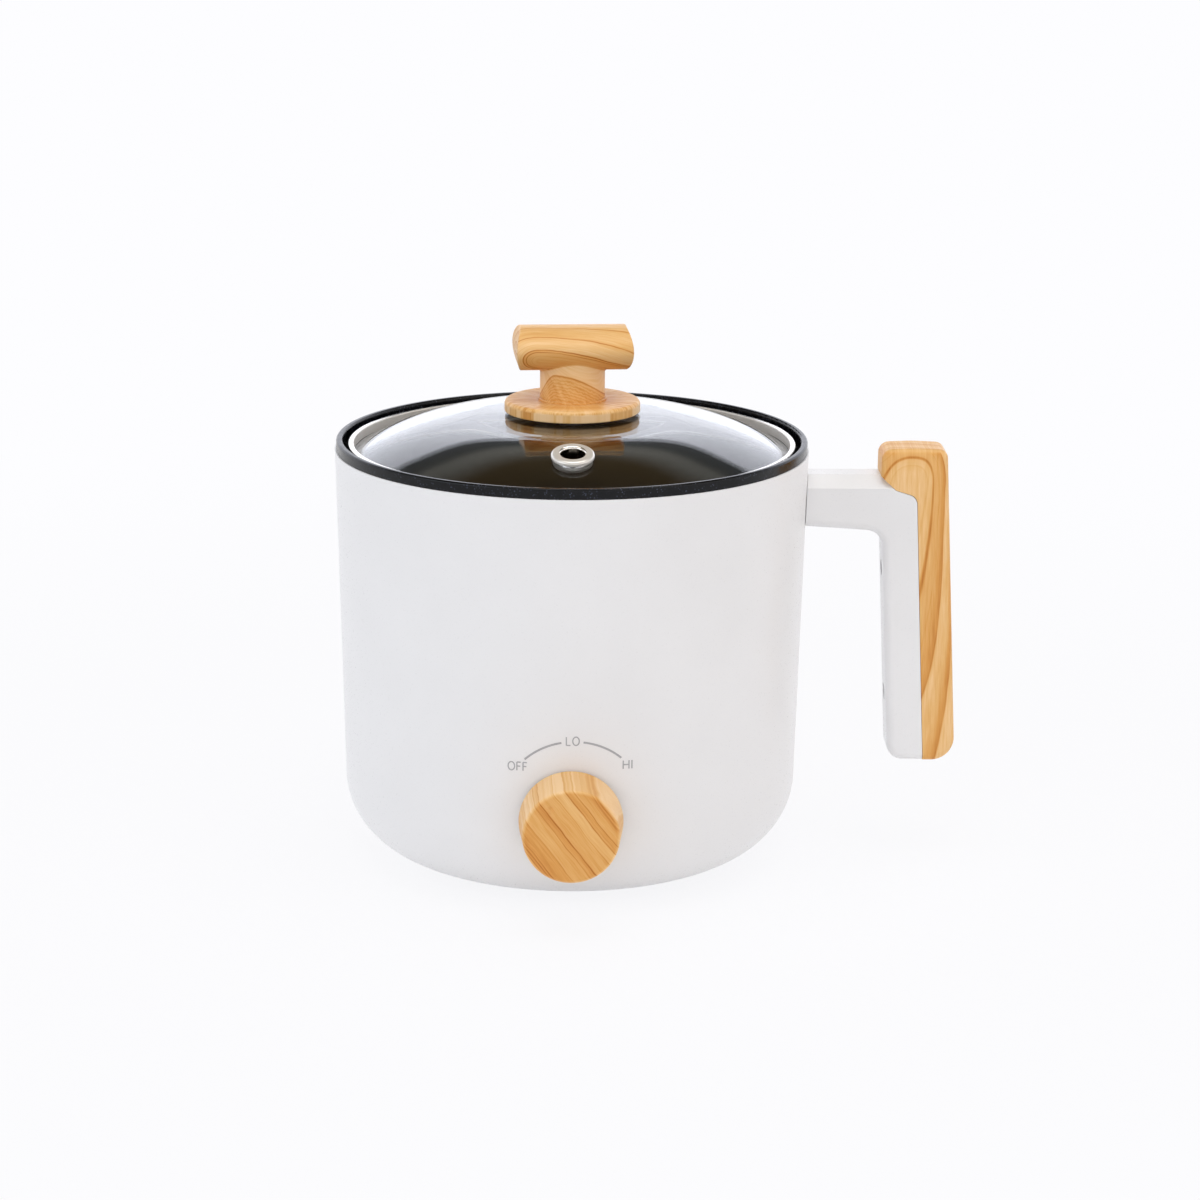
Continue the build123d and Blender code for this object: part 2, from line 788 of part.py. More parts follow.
def grip_outline():
    """Outline of the head and the outer half of the grip, run on past the seam."""
    return [
        (head_left, grip_bottom, 0),
        (head_left, head_top, head_left_edge),
        ((head_left + head_right) / 2, head_top + head_crown, crown_bend),
        (head_right, head_top, head_right_edge),
        (grip_outer_bottom, grip_bottom, grip_outer_corner),
    ]


def arm_outline():
    """Outline of the arm and the inner half of the grip, run on past the seam."""
    root = shell_top_radius - shell_wall - arm_root_depth
    return [
        (root, arm_under_root, 0),
        (root, arm_top, 0),
        (grip_outer_bottom, arm_top, 0),
        (grip_outer_bottom, grip_bottom, 0),
        (grip_inner_bottom, grip_bottom, grip_inner_corner),
        (grip_inner_top, arm_under_end, finger_corner),
    ]


def pocket(side, depth):
    """Hollow of one handle half behind the seam, with round bosses left for its screws."""
    near_top = seam_x(pocket_top) - side * cut_over
    near_bottom = seam_x(pocket_bottom) - side * cut_over
    far_top = seam_x(pocket_top) + side * depth
    far_bottom = seam_x(pocket_bottom) + side * depth
    hollow = slab([
        (near_top, pocket_top, 0),
        (far_top, pocket_top, pocket_edge),
        (far_bottom, pocket_bottom, pocket_edge),
        (near_bottom, pocket_bottom, 0),
    ], handle_depth - 2 * grip_wall)
    for z in grip_screw_heights:
        hollow -= grip_screw_place(z) * rod(grip_boss, -grip_span, grip_span)
    return hollow


def grip_screw_place(z):
    """Plane of a grip screw on the seam, looking out along +X."""
    return Plane((seam_x(z), 0, z), x_dir=(0, 1, 0), z_dir=(1, 0, 0)).location


def handle_arm():
    body = slab(arm_outline(), handle_depth)
    top = body.faces().filter_by(Axis.Z).sort_by(Axis.Z)[-1]
    body = chamfer(top.edges().filter_by(Axis.X), arm_chamfer)
    inner = [e for e in body.edges() if e.center().X < seam_x(e.center().Z) - finger_edge]
    inner = [e for e in inner if e.center().Z < arm_under_root + seat_gap]
    inner = [e for e in inner if abs(abs(e.center().Y) - handle_depth / 2) < seat_gap]
    body = fillet(inner, finger_edge)
    body -= slab(wood_side(-seam_gap), handle_depth + cut_over)
    body -= shell_trim()
    span = seam_x(pocket_top) - grip_inner_top - grip_wall
    body -= pocket(-1, span)
    for z in grip_screw_heights:
        place = grip_screw_place(z)
        body -= place * rod(grip_screw_radius + hole_gap, -grip_span, cut_over)
        body -= place * rod(grip_screw_head + hole_gap, -grip_span, -grip_screw_seat)
    for place in handle_bolt_places():
        body -= place * rod(handle_bolt_radius + thread_gap, -cut_over, handle_bolt_reach)
    return body


def shell_trim():
    """Shell's outside grown by the seat gap, which shapes the arm's root."""
    return turned([
        (0, shell_bottom, 0),
        (shell_base_radius + seat_gap, shell_bottom, 0),
        (shell_top_radius + seat_gap, shell_top, 0),
        (0, shell_top, 0),
    ])


def handle_grip():
    body = slab(grip_outline(), handle_depth)
    sides = body.faces().filter_by(Axis.Y)
    body = fillet(sides.edges(), wood_edge)
    body &= slab(wood_side(0), handle_depth + cut_over)
    span = head_right - seam_x_top - grip_wall
    body -= pocket(1, span)
    for z in grip_screw_heights:
        body -= grip_screw_place(z) * rod(grip_screw_radius + thread_gap, -cut_over, grip_screw_reach)
    return body


def grip_screws():
    reach = grip_screw_seat + grip_screw_reach - cut_over
    one = screw(grip_screw_head, grip_screw_head_height, grip_screw_radius, reach)
    return [grip_screw_place(z) * Pos(0, 0, -grip_screw_seat) * one for z in grip_screw_heights]


def handle_bracket():
    outer = shell_top_radius - shell_wall
    low = bolt_middle - bracket_height / 2
    high = bolt_middle + bracket_height / 2
    plate = turned([
        (shell_radius(low) - shell_wall - seat_gap - bracket_sheet, low, 0),
        (shell_radius(low) - shell_wall - seat_gap, low, 0),
        (shell_radius(high) - shell_wall - seat_gap, high, 0),
        (shell_radius(high) - shell_wall - seat_gap - bracket_sheet, high, 0),
    ])
    plate &= Pos(outer, 0, bolt_middle) * Box(outer, bracket_width, 2 * bracket_height)
    for place in handle_bolt_places():
        plate -= place * rod(handle_bolt_radius + hole_gap, -shell_wall - bracket_sheet - cut_over, 0)
    return plate


def handle_bolts():
    seat = shell_wall + seat_gap + bracket_sheet + seat_gap
    reach = seat + handle_bolt_reach - cut_over
    one = screw(handle_bolt_head, handle_bolt_head_height, handle_bolt_radius, reach)
    return [place * Pos(0, 0, -seat) * one for place in handle_bolt_places()]


def dome_height(radius, offset):
    """Height of the glass's outer face, moved outward by an offset, at a radius."""
    if radius < (crown_radius + offset) * math.sin(crown_lean):
        return crown_centre + math.sqrt((crown_radius + offset) ** 2 - radius**2)
    return shoulder_z + math.sqrt((shoulder_radius + offset) ** 2 - (radius - shoulder_x) ** 2)


def dome(offset, edge):
    """Solid below the glass's outer face, moved outward by an offset, out to an edge radius."""
    joint = min((crown_radius + offset) * math.sin(crown_lean), edge)
    spans = [(0, joint), (joint, edge)] if joint < edge else [(0, edge)]
    arcs = [
        ThreePointArc(*[(r, 0, dome_height(r, offset)) for r in (low, (low + high) / 2, high)])
        for low, high in spans
    ]
    sides = Polyline(arcs[-1] @ 1, (edge, 0, shoulder_z), (0, 0, shoulder_z), arcs[0] @ 0)
    return revolve(make_face([*arcs, sides]), Axis.Z)


def vent_plane():
    """Plane of the steam vent, on the glass and square to it."""
    height = dome_height(-vent_y, 0)
    out = (0, shoulder_x + vent_y, height - shoulder_z)
    return Plane((0, vent_y, height), x_dir=(1, 0, 0), z_dir=out)


def lid_glass():
    glass = dome(0, glass_edge)
    glass -= dome(-glass_thickness, glass_edge + cut_over)
    glass -= rod(lid_screw_radius + hole_gap, shoulder_z, dome_top + cut_over)
    bore = rod(vent_bore + vent_tube + hole_gap, -glass_thickness - cut_over, cut_over)
    return glass - vent_plane() * bore


def lid_band():
    low = band_bottom
    inside = lid_radius - band_sheet
    hem = lid_radius - band_flange
    lip = dome_height(hem, seat_gap)
    return turned([
        (hem, lip, 0),
        (hem, band_top, band_sheet),
        (lid_radius, band_top, band_sheet),
        (lid_radius, low, band_sheet),
        (hem, low, 0),
        (hem, low + band_sheet, 0),
        (inside, low + band_sheet, 0),
        (inside, band_top - band_sheet, 0),
        (hem + band_sheet, band_top - band_sheet, 0),
        (hem + band_sheet, lip, 0),
    ])


def vent_eyelet():
    side_radius = vent_y * shoulder_radius / (vent_y + shoulder_x)
    sag = vent_lip**2 / (2 * side_radius)
    under = -glass_thickness - seat_gap - vent_foot**2 / (2 * (shoulder_radius - glass_thickness))
    outside = vent_bore + vent_tube
    return vent_plane() * turned([
        (vent_bore, under - vent_foot_height, 0),
        (vent_foot, under - vent_foot_height, vent_foot_height / 2),
        (vent_foot, under, 0),
        (outside, under, 0),
        (outside, seat_gap, 0),
        (vent_lip, seat_gap - sag, 0),
        (vent_lip, vent_lip_height, vent_lip_edge),
        (vent_bore, vent_lip_height, vent_tube),
    ])


def lid_pad():
    pad = rod(pad_radius, shoulder_z, disc_bottom)
    pad -= dome(seat_gap, pad_radius + cut_over)
    return pad - rod(lid_screw_radius + hole_gap, shoulder_z, disc_bottom + cut_over)


def lid_knob_base():
    disc = turned([
        (0, disc_bottom, 0),
        (disc_radius, disc_bottom, disc_under_edge),
        (disc_radius, disc_top, disc_top_edge),
        (0, disc_top, 0),
    ])
    return disc - rod(lid_screw_radius + hole_gap, disc_bottom - cut_over, disc_top + cut_over)


def lid_knob_grip():
    half = bar_length / 2
    shoulder = half - bar_dome
    dome_radius = ((bar_height / 2) ** 2 + bar_dome**2) / (2 * bar_dome)
    bar = Pos(0, 0, bar_z) * Rot(0, 90, 0) * extrude(
        Ellipse(bar_height / 2, bar_depth / 2), half, both=True
    )
    ends = Pos(0, 0, bar_z) * Rot(90, 0, 0) * extrude(Circle(dome_radius), bar_depth, both=True)
    block = Box(2 * (half - dome_radius), 2 * bar_depth, 2 * dome_radius)
    lens = Pos(0, 0, bar_z) * block
    for x in (-1, 1):
        lens += Pos(x * (half - dome_radius), 0, 0) * ends
    bar &= lens
    tips = [e for e in bar.edges() if abs(e.center().X) > shoulder / 2]
    bar = fillet(tips, bar_edge)
    stem = rod(stem_radius, disc_top, bar_z)
    grip = bar + stem
    saddle = [e for e in grip.edges() if disc_top + stem_radius / 2 < e.center().Z < bar_z]
    saddle = [e for e in saddle if math.hypot(e.center().X, e.center().Y) < stem_radius + seat_gap]
    grip = fillet(saddle, stem_blend)
    foot = turned([
        (0, disc_top, 0),
        (stem_foot_radius, disc_top, 0),
        (stem_foot_radius, disc_top + stem_foot_height, stem_foot_height / 2),
        (0, disc_top + stem_foot_height, 0),
    ])
    grip += foot
    grip -= rod(insert_radius + thread_gap, disc_top - cut_over, disc_top + insert_length)
    return Rot(0, 0, bar_turn) * grip


def knob_insert():
    insert = rod(insert_radius, disc_top, disc_top + insert_length - seat_gap)
    return insert - rod(lid_screw_radius + thread_gap, disc_top - cut_over, disc_top + insert_length)


def lid_washer():
    top = dome_top - glass_thickness - seat_gap
    flat = rod(lid_washer_radius, top - lid_washer_height, top)
    flat &= dome(-glass_thickness - seat_gap, lid_washer_radius + cut_over)
    return flat - rod(lid_screw_radius + hole_gap, top - lid_washer_height - cut_over, top + cut_over)


def lid_screw():
    seat = dome_top - glass_thickness - seat_gap - lid_washer_height
    reach = disc_top + insert_length - cut_over - seat
    return Pos(0, 0, seat) * screw(lid_screw_head, lid_screw_head_height, lid_screw_radius, reach)


to_left = Vector(-1, 0, 0)
to_right = Vector(1, 0, 0)
to_front = Vector(0, -1, 0)
to_back = Vector(0, 1, 0)
downward = Vector(0, 0, -1)


def cable(points, bend):
    """Round wire along straight runs with rounded corners."""
    path = FilletPolyline(*points, radius=bend)
    return sweep(Plane(path @ 0, z_dir=path % 0) * Circle(wire_radius), path)


def wire(start, out, shares, end, back):
    """Wire that leaves both terminals straight and turns at places between them."""
    turns = [Vector(x * stud_pitch, y * stud_pitch, z * shield_top) for x, y, z in shares]
    return cable([start, start + out * wire_lead, *turns, end + back * wire_lead, end], wire_bend)


def switch_terminal(number):
    """End of one of the switch's tabs."""
    x = (number - 1) * switch_tab_pitch
    return Vector(x, switch_depth + tab_length - switch_face, knob_z)


def inlet_terminal(number):
    """End of the line, earth or neutral tab of the inlet."""
    place = blade_places()[number].position
    back = inlet_face + inlet_flange - socket_depth - inlet_back - tab_length
    return Vector(-place.X, back, inlet_z + place.Y)


def thermostat_terminal(side):
    low = plate_bottom - thermostat_height - tab_length
    return Vector(side * thermostat_radius / 2, 0, low)


def fuse_terminal(side):
    return fuse_place().position + to_right * (side * fuse_length / 2)


def pin_terminal(number):
    return tube_ends()[number] + downward * pin_length


def earth_stud():
    """Middle of the earth tag, on the stud nearest the inlet."""
    angle = math.radians(stud_angle)
    return Vector(stud_pitch * math.cos(angle), stud_pitch * math.sin(angle), earth_z)


def earth_tag():
    half = earth_tag_sheet / 2
    reach = earth_stud().X * earth_tail_share
    tag = rod(earth_tag_radius, -half, half)
    tag += Pos(-reach / 2, 0, 0) * Box(reach, earth_tag_width, earth_tag_sheet)
    tag -= rod(stud_neck + thread_gap, -cut_over, cut_over)
    return Pos(earth_stud()) * tag


def wire_line():
    return wire(inlet_terminal(0), to_front, line_shares, switch_terminal(2), to_back)


def wire_neutral():
    return wire(inlet_terminal(2), to_front, neutral_shares, pin_terminal(1), downward)


def wire_switched():
    return wire(switch_terminal(1), to_back, switched_shares, thermostat_terminal(-1), downward)


def wire_fuse():
    return wire(thermostat_terminal(1), downward, fuse_shares, fuse_terminal(1), to_right)


def wire_heater():
    return wire(fuse_terminal(-1), to_left, heater_shares, pin_terminal(0), downward)


def wire_earth():
    start = inlet_terminal(1)
    end = earth_stud() + to_left * (earth_stud().X * earth_tail_share)
    return cable([start, Vector(start.X, end.Y, end.Z), end], earth_bend)


NODES = [
    outer_shell, inner_pot, rim_seal, heating_plate, heating_element, element_pins, heat_shield,
    pot_studs, stud_nuts, thermostat, thermostat_screws, thermal_fuse, fuse_clip, base_plate, feet,
    base_screws, control_knob, switch_shaft, rotary_switch, switch_nut, switch_tabs, power_inlet,
    inlet_pins, inlet_screws, handle_arm, handle_grip, grip_screws, handle_bracket, handle_bolts,
    earth_tag, wire_line, wire_neutral, wire_switched, wire_fuse, wire_heater, wire_earth,
    lid_glass, lid_band, vent_eyelet, lid_pad, lid_knob_base, lid_knob_grip, knob_insert, lid_washer,
    lid_screw,
]

os.makedirs("parts", exist_ok=True)
for node in NODES:
    made = node()
    shape = Compound(children=[*made]) if isinstance(made, list) else made
    export_step(shape, f"parts/{node.__name__}.step")
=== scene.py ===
import json
import math

import bmesh
import bpy
from mathutils import Matrix, Vector


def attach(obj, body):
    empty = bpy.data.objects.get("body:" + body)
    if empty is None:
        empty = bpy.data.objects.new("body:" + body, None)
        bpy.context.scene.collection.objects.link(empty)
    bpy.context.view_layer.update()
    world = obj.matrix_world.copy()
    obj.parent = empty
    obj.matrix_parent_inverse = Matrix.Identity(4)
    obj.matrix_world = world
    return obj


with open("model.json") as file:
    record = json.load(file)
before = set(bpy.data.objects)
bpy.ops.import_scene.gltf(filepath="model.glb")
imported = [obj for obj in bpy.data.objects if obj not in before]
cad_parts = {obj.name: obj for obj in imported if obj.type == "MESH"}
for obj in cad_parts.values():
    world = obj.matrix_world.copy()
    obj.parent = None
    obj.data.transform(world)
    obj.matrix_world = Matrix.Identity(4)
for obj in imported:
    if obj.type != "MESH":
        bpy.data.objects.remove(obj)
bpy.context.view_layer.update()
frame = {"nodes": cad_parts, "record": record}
nodes = frame["nodes"]
scene = bpy.context.scene
MM = 0.001


def box(name):
    """Lowest and highest corner of a node of the frame, in millimetres."""
    corners = [Vector(corner) / MM for corner in nodes[name].bound_box]
    low = Vector([min(corner[axis] for corner in corners) for axis in range(3)])
    high = Vector([max(corner[axis] for corner in corners) for axis in range(3)])
    return low, high


# Places that the looks follow, in millimetres
dial_low, dial_high = box("control_knob")
DIAL_Z = (dial_low.z + dial_high.z) / 2
SHELL_TOP = box("outer_shell")[1].z
SHELL_TOP_RADIUS = box("outer_shell")[1].x
SHELL_FOOT = 3.0
SHELL_TAPER = 3.4  # how much narrower the shell is at its foot
RIM_TOP = box("inner_pot")[1].z
HEAD_TOP = box("handle_grip")[1].z
DISC_TOP = box("lid_knob_base")[1].z
BAR_HALF_HEIGHT = 8.05
BAR_HALF_DEPTH = 14.0
BAR_MIDDLE = box("lid_knob_grip")[1].z - BAR_HALF_HEIGHT
BAR_TURN = math.radians(4.5)  # of the lid's bar about the pot's axis

# Dome of the lid: radius of its crown, radius and middle of its shoulder, thickness of the glass
CROWN_RADIUS = 599.3
SHOULDER_RADIUS = 97.86
SHOULDER_X = 30.09
GLASS_THICKNESS = 3.5

# Steel on the lid: inner wall of the band, place and lean of the steam eyelet, its reach and its bore
BAND_WALL = (80.1, 80.3)
EYELET_Y = -56.0
EYELET_Z = 163.2
EYELET_LEAN = 0.28
EYELET_REACH = (12.0, 13.0)
EYELET_BORE = (4.5, 4.9)


def linear(r, g, b):
    """Colour from 8-bit display values, by the sRGB curve."""
    def one(c):
        c /= 255.0
        return c / 12.92 if c <= 0.04045 else ((c + 0.055) / 1.055) ** 2.4
    return (one(r), one(g), one(b), 1.0)


class Graph:
    """Short-hand for the nodes of one material or of the world."""

    def __init__(self, tree):
        self.tree = tree

    def node(self, kind, **settings):
        made = self.tree.nodes.new(kind)
        for key, value in settings.items():
            setattr(made, key, value)
        return made

    def feed(self, socket, value):
        if isinstance(value, bpy.types.NodeSocket):
            self.tree.links.new(value, socket)
        else:
            socket.default_value = value

    def math(self, operation, *values):
        made = self.node("ShaderNodeMath", operation=operation)
        for socket, value in zip(made.inputs, values):
            self.feed(socket, value)
        return made.outputs[0]

    def add(self, a, b):
        return self.math("ADD", a, b)

    def sub(self, a, b):
        return self.math("SUBTRACT", a, b)

    def mul(self, a, b):
        return self.math("MULTIPLY", a, b)

    def hypot(self, a, b):
        return self.math("SQRT", self.add(self.mul(a, a), self.mul(b, b)))

    def remap(self, value, low, high, to_low=0.0, to_high=1.0, smooth=False):
        made = self.node("ShaderNodeMapRange", interpolation_type="SMOOTHSTEP" if smooth else "LINEAR")
        for socket, v in zip(made.inputs, (value, low, high, to_low, to_high)):
            self.feed(socket, v)
        return made.outputs[0]

    def axes(self, vector):
        made = self.node("ShaderNodeSeparateXYZ")
        self.feed(made.inputs[0], vector)
        return made.outputs[0], made.outputs[1], made.outputs[2]

    def point(self, x, y, z):
        made = self.node("ShaderNodeCombineXYZ")
        for socket, v in zip(made.inputs, (x, y, z)):
            self.feed(socket, v)
        return made.outputs[0]

    def scaled(self, vector, factor):
        made = self.node("ShaderNodeVectorMath", operation="SCALE")
        self.feed(made.inputs[0], vector)
        made.inputs["Scale"].default_value = factor
        return made.outputs[0]

    def dot(self, a, b):
        made = self.node("ShaderNodeVectorMath", operation="DOT_PRODUCT")
        self.feed(made.inputs[0], a)
        self.feed(made.inputs[1], b)
        return made.outputs["Value"]

    def noise(self, vector, scale, detail=3.0, rough=0.5):
        made = self.node("ShaderNodeTexNoise")
        self.feed(made.inputs["Vector"], vector)
        made.inputs["Scale"].default_value = scale
        made.inputs["Detail"].default_value = detail
        made.inputs["Roughness"].default_value = rough
        return made.outputs[0]

    def sway(self, vector, scale, amount):
        """Smooth noise between minus and plus an amount."""
        return self.remap(self.noise(vector, scale, 2.0), 0.2, 0.8, -amount, amount)

    def cells(self, vector, scale):
        made = self.node("ShaderNodeTexVoronoi")
        self.feed(made.inputs["Vector"], vector)
        made.inputs["Scale"].default_value = scale
        return made.outputs["Distance"]

    def ramp(self, factor, stops):
        """Colour ramp from zero to the last stop; a stop is a place and a grey or a colour."""
        span = stops[-1][0]
        made = self.node("ShaderNodeValToRGB")
        self.feed(made.inputs[0], self.mul(factor, 1.0 / span) if span != 1.0 else factor)
        points = made.color_ramp.elements
        while len(points) < len(stops):
            points.new(0.5)
        for point, (place, tone) in zip(points, stops):
            point.position = place / span
            point.color = tone if isinstance(tone, tuple) else (tone, tone, tone, 1.0)
        return made.outputs[0]

    def mix(self, factor, a, b):
        made = self.node("ShaderNodeMix", data_type="RGBA")
        for socket, v in zip((made.inputs[0], made.inputs[6], made.inputs[7]), (factor, a, b)):
            self.feed(socket, v)
        return made.outputs[2]


class Finish(Graph):
    """A Principled material that is painted by place in the part's frame, in millimetres."""

    def __init__(self, name):
        self.material = bpy.data.materials.new(name)
        self.material.use_nodes = True
        super().__init__(self.material.node_tree)
        self.shader = self.tree.nodes["Principled BSDF"]
        self.place = self.scaled(self.node("ShaderNodeTexCoord").outputs["Object"], 1.0 / MM)
        self.surface = self.node("ShaderNodeNewGeometry").outputs

    def set(self, **values):
        """Feed inputs of the shader; a space in an input's name is written as an underscore."""
        for key, value in values.items():
            self.feed(self.shader.inputs[key.replace("_", " ")], value)

    def bump(self, height, strength, distance):
        made = self.node("ShaderNodeBump")
        made.inputs["Strength"].default_value = strength
        made.inputs["Distance"].default_value = distance * MM
        self.feed(made.inputs["Height"], height)
        self.set(Normal=made.outputs[0])


def plain(name, light, dark, rough, grain=0.6, patch=0.05, metal=0.0, relief=0.2, spread=0.08, specular=0.5):
    """Moulded, cast or coated surface: two near tones, fine grain in gloss and relief."""
    f = Finish(name)
    cloud = f.noise(f.place, patch, 4.0)
    fine = f.noise(f.place, grain, 2.0)
    gloss = f.remap(fine, 0.3, 0.7, rough - spread / 2, rough + spread / 2)
    f.set(
        Base_Color=f.mix(f.remap(cloud, 0.35, 0.65), linear(*light), linear(*dark)),
        Roughness=gloss,
        Metallic=metal,
        Specular_IOR_Level=specular,
    )
    f.bump(fine, relief, 0.02)
    return f


# Wood print: tones from pale to dark, and lines across the grain as places and tones
WOOD_TONES = (
    (0.0, linear(247, 208, 156)),
    (0.3, linear(234, 184, 115)),
    (0.6, linear(221, 158, 81)),
    (0.85, linear(203, 133, 58)),
    (1.0, linear(180, 103, 37)),
)
BAR_LINES = (
    (0.0, 0.46), (3.0, 0.44), (3.3, 0.64), (3.6, 0.42), (5.2, 0.48), (5.5, 0.94), (5.8, 0.46), (6.35, 0.56),
    (6.6, 1.0), (6.85, 1.0), (7.1, 0.3), (8.5, 0.18), (12.0, 0.2), (13.8, 0.3), (14.2, 0.95), (14.55, 0.36),
    (17.0, 0.3), (20.3, 0.28), (20.8, 0.88), (21.2, 0.24), (25.0, 0.22), (25.3, 0.6), (25.6, 0.2),
    (32.0, 0.25),
)
STEM_LINES = ((0.0, 0.05), (19.6, 0.1), (19.95, 0.85), (20.1, 0.85), (20.5, 0.42), (40.0, 0.42))
END_LINES = ((0.0, 0.2), (0.6, 0.4), (0.88, 0.7), (0.96, 0.3), (1.0, 0.2))
DISC_STREAKS = (
    (0.0, 0.1), (0.36, 0.15), (0.42, 0.55), (0.44, 0.2), (0.5, 0.3), (0.56, 0.75), (0.58, 0.25),
    (0.66, 0.5), (0.7, 0.85), (0.73, 0.3), (1.0, 0.4),
)
DISC_PATCHES = (
    (0.0, 0.0), (0.44, 0.04), (0.52, 0.16), (0.55, 0.66), (0.57, 0.36), (0.6, 0.45), (0.62, 0.78),
    (0.64, 0.36), (0.7, 0.16), (1.0, 0.06),
)
DISC_BOW = ((0.0, 0.2), (8.0, 0.25), (12.3, 0.5), (12.7, 0.85), (13.0, 0.55), (16.0, 0.4), (30.0, 0.3))
DIAL_LINES = (
    (0.0, 0.35), (3.8, 0.5), (4.2, 0.85), (4.6, 0.5), (5.2, 0.9), (5.5, 0.5), (6.1, 0.85), (6.4, 0.6),
    (10.8, 0.5), (11.0, 0.8), (11.25, 0.32), (16.3, 0.4), (16.6, 0.85), (16.9, 0.48), (18.5, 0.58),
    (18.8, 1.0), (19.15, 0.42), (24.4, 0.36), (24.6, 0.68), (24.85, 0.22), (28.1, 0.25), (28.35, 0.88),
    (28.7, 0.46), (30.5, 0.5), (30.75, 0.88), (31.0, 0.35), (34.2, 0.5), (34.8, 0.8), (35.2, 0.55),
    (35.7, 0.82), (36.4, 0.35), (40.0, 0.3),
)
GRIP_LINES = (
    (0.0, 0.14), (1.2, 0.18), (1.5, 0.24), (1.56, 0.34), (1.62, 0.2), (1.9, 0.26), (1.98, 0.8),
    (2.04, 0.86), (2.12, 0.42), (2.3, 0.4), (2.5, 0.44), (2.53, 0.56), (2.58, 0.45), (2.8, 0.6),
    (2.96, 0.72), (3.0, 0.86), (3.05, 0.24), (3.2, 0.2), (3.5, 0.3), (3.72, 0.55), (3.86, 0.7),
    (3.9, 0.84), (3.95, 0.2), (4.2, 0.16), (4.8, 0.4), (5.0, 0.7), (5.05, 0.2), (6.0, 0.3),
)
HEAD_LINES = (
    (0.0, 0.3), (4.0, 0.3), (6.2, 0.5), (6.5, 0.22), (10.5, 0.34), (13.0, 0.6), (13.3, 0.26), (20.0, 0.34),
)
OUTER_LINES = (
    (0.0, 0.2), (5.0, 0.3), (8.1, 0.42), (8.4, 0.72), (8.7, 0.26), (11.0, 0.22), (14.4, 0.4), (14.8, 0.78),
    (15.1, 0.48), (16.6, 0.52), (16.9, 0.78), (17.2, 0.24), (22.0, 0.34), (26.0, 0.4),
)


def wood(f, tone, across, along):
    """Satin printed wood from a tone field and the coordinates across and along the grain."""
    fibre_tone = 0.13
    fleck_tone = 0.1
    fleck_layer = 3.0
    fibre = f.noise(f.point(f.mul(across, 2.2), f.mul(along, 0.1), 0.0), 1.0, 4.0, 0.6)
    fleck = f.noise(f.point(f.mul(across, 0.7), f.mul(along, 0.05), fleck_layer), 1.0, 2.0)
    shade = f.add(tone, f.remap(fibre, 0.25, 0.75, -fibre_tone, fibre_tone))
    shade = f.add(shade, f.remap(fleck, 0.3, 0.7, -fleck_tone, fleck_tone))
    gloss = f.remap(fibre, 0.3, 0.7, 0.36, 0.46)
    f.set(Base_Color=f.ramp(shade, WOOD_TONES), Roughness=gloss, Specular_IOR_Level=0.32)
    f.bump(fibre, 0.08, 0.02)
    return f


def bar_rings(f, x, around, wobble):
    """Distance from a line that falls to the right along the bar and starts short of its left end."""
    line_height = -6.9
    line_start = -12.9
    fall = -0.305
    bow = -0.0056
    end_squeeze = 1.1
    course = f.add(f.mul(x, fall), f.mul(f.mul(x, x), bow))
    steadier = f.remap(around, -4.0, 14.0, 1.0, 0.25)
    line = f.add(f.mul(course, steadier), line_height)
    side = f.add(f.sub(around, line), wobble)
    beyond = f.math("MAXIMUM", f.sub(line_start, x), 0.0)
    return f.hypot(side, f.mul(beyond, end_squeeze))


def stem_tone(f, x, z, wobble):
    """Arch on the knob's stem, steeper at its left, with toothed lines inside it."""
    arch_x = -7.0
    arch_top = 182.6
    steep_left = 0.35
    steep_right = 0.024
    tooth_tone = 0.46
    tooth_depth = 0.13
    radians_per_mm = 5.2
    middle_place = STEM_LINES[-1][0] / 2
    aside = f.sub(x, arch_x)
    steep = f.remap(aside, -0.01, 0.01, steep_left, steep_right)
    inside = f.sub(f.sub(arch_top, f.mul(f.mul(aside, aside), steep)), z)
    outline = f.ramp(f.add(f.add(inside, f.mul(wobble, 0.2)), middle_place), STEM_LINES)
    jag = f.sway(f.place, 0.75, 0.55)
    teeth = f.math("SINE", f.mul(f.add(inside, jag), radians_per_mm))
    toothed = f.add(tooth_tone, f.mul(teeth, tooth_depth))
    return f.mix(f.remap(inside, 0.3, 0.6), outline, toothed)


def end_tone(f, y, z, wobble):
    """Growth rings on the bar's ends, about a heart that lies outside the bar."""
    heart_y = -9.0
    heart_z = 172.0
    rings_per_mm = 0.3
    reach = f.hypot(f.sub(y, heart_y), f.sub(z, heart_z))
    growth = f.mul(f.add(reach, f.mul(wobble, 2.0)), rings_per_mm)
    return f.ramp(f.math("FRACT", growth), END_LINES)


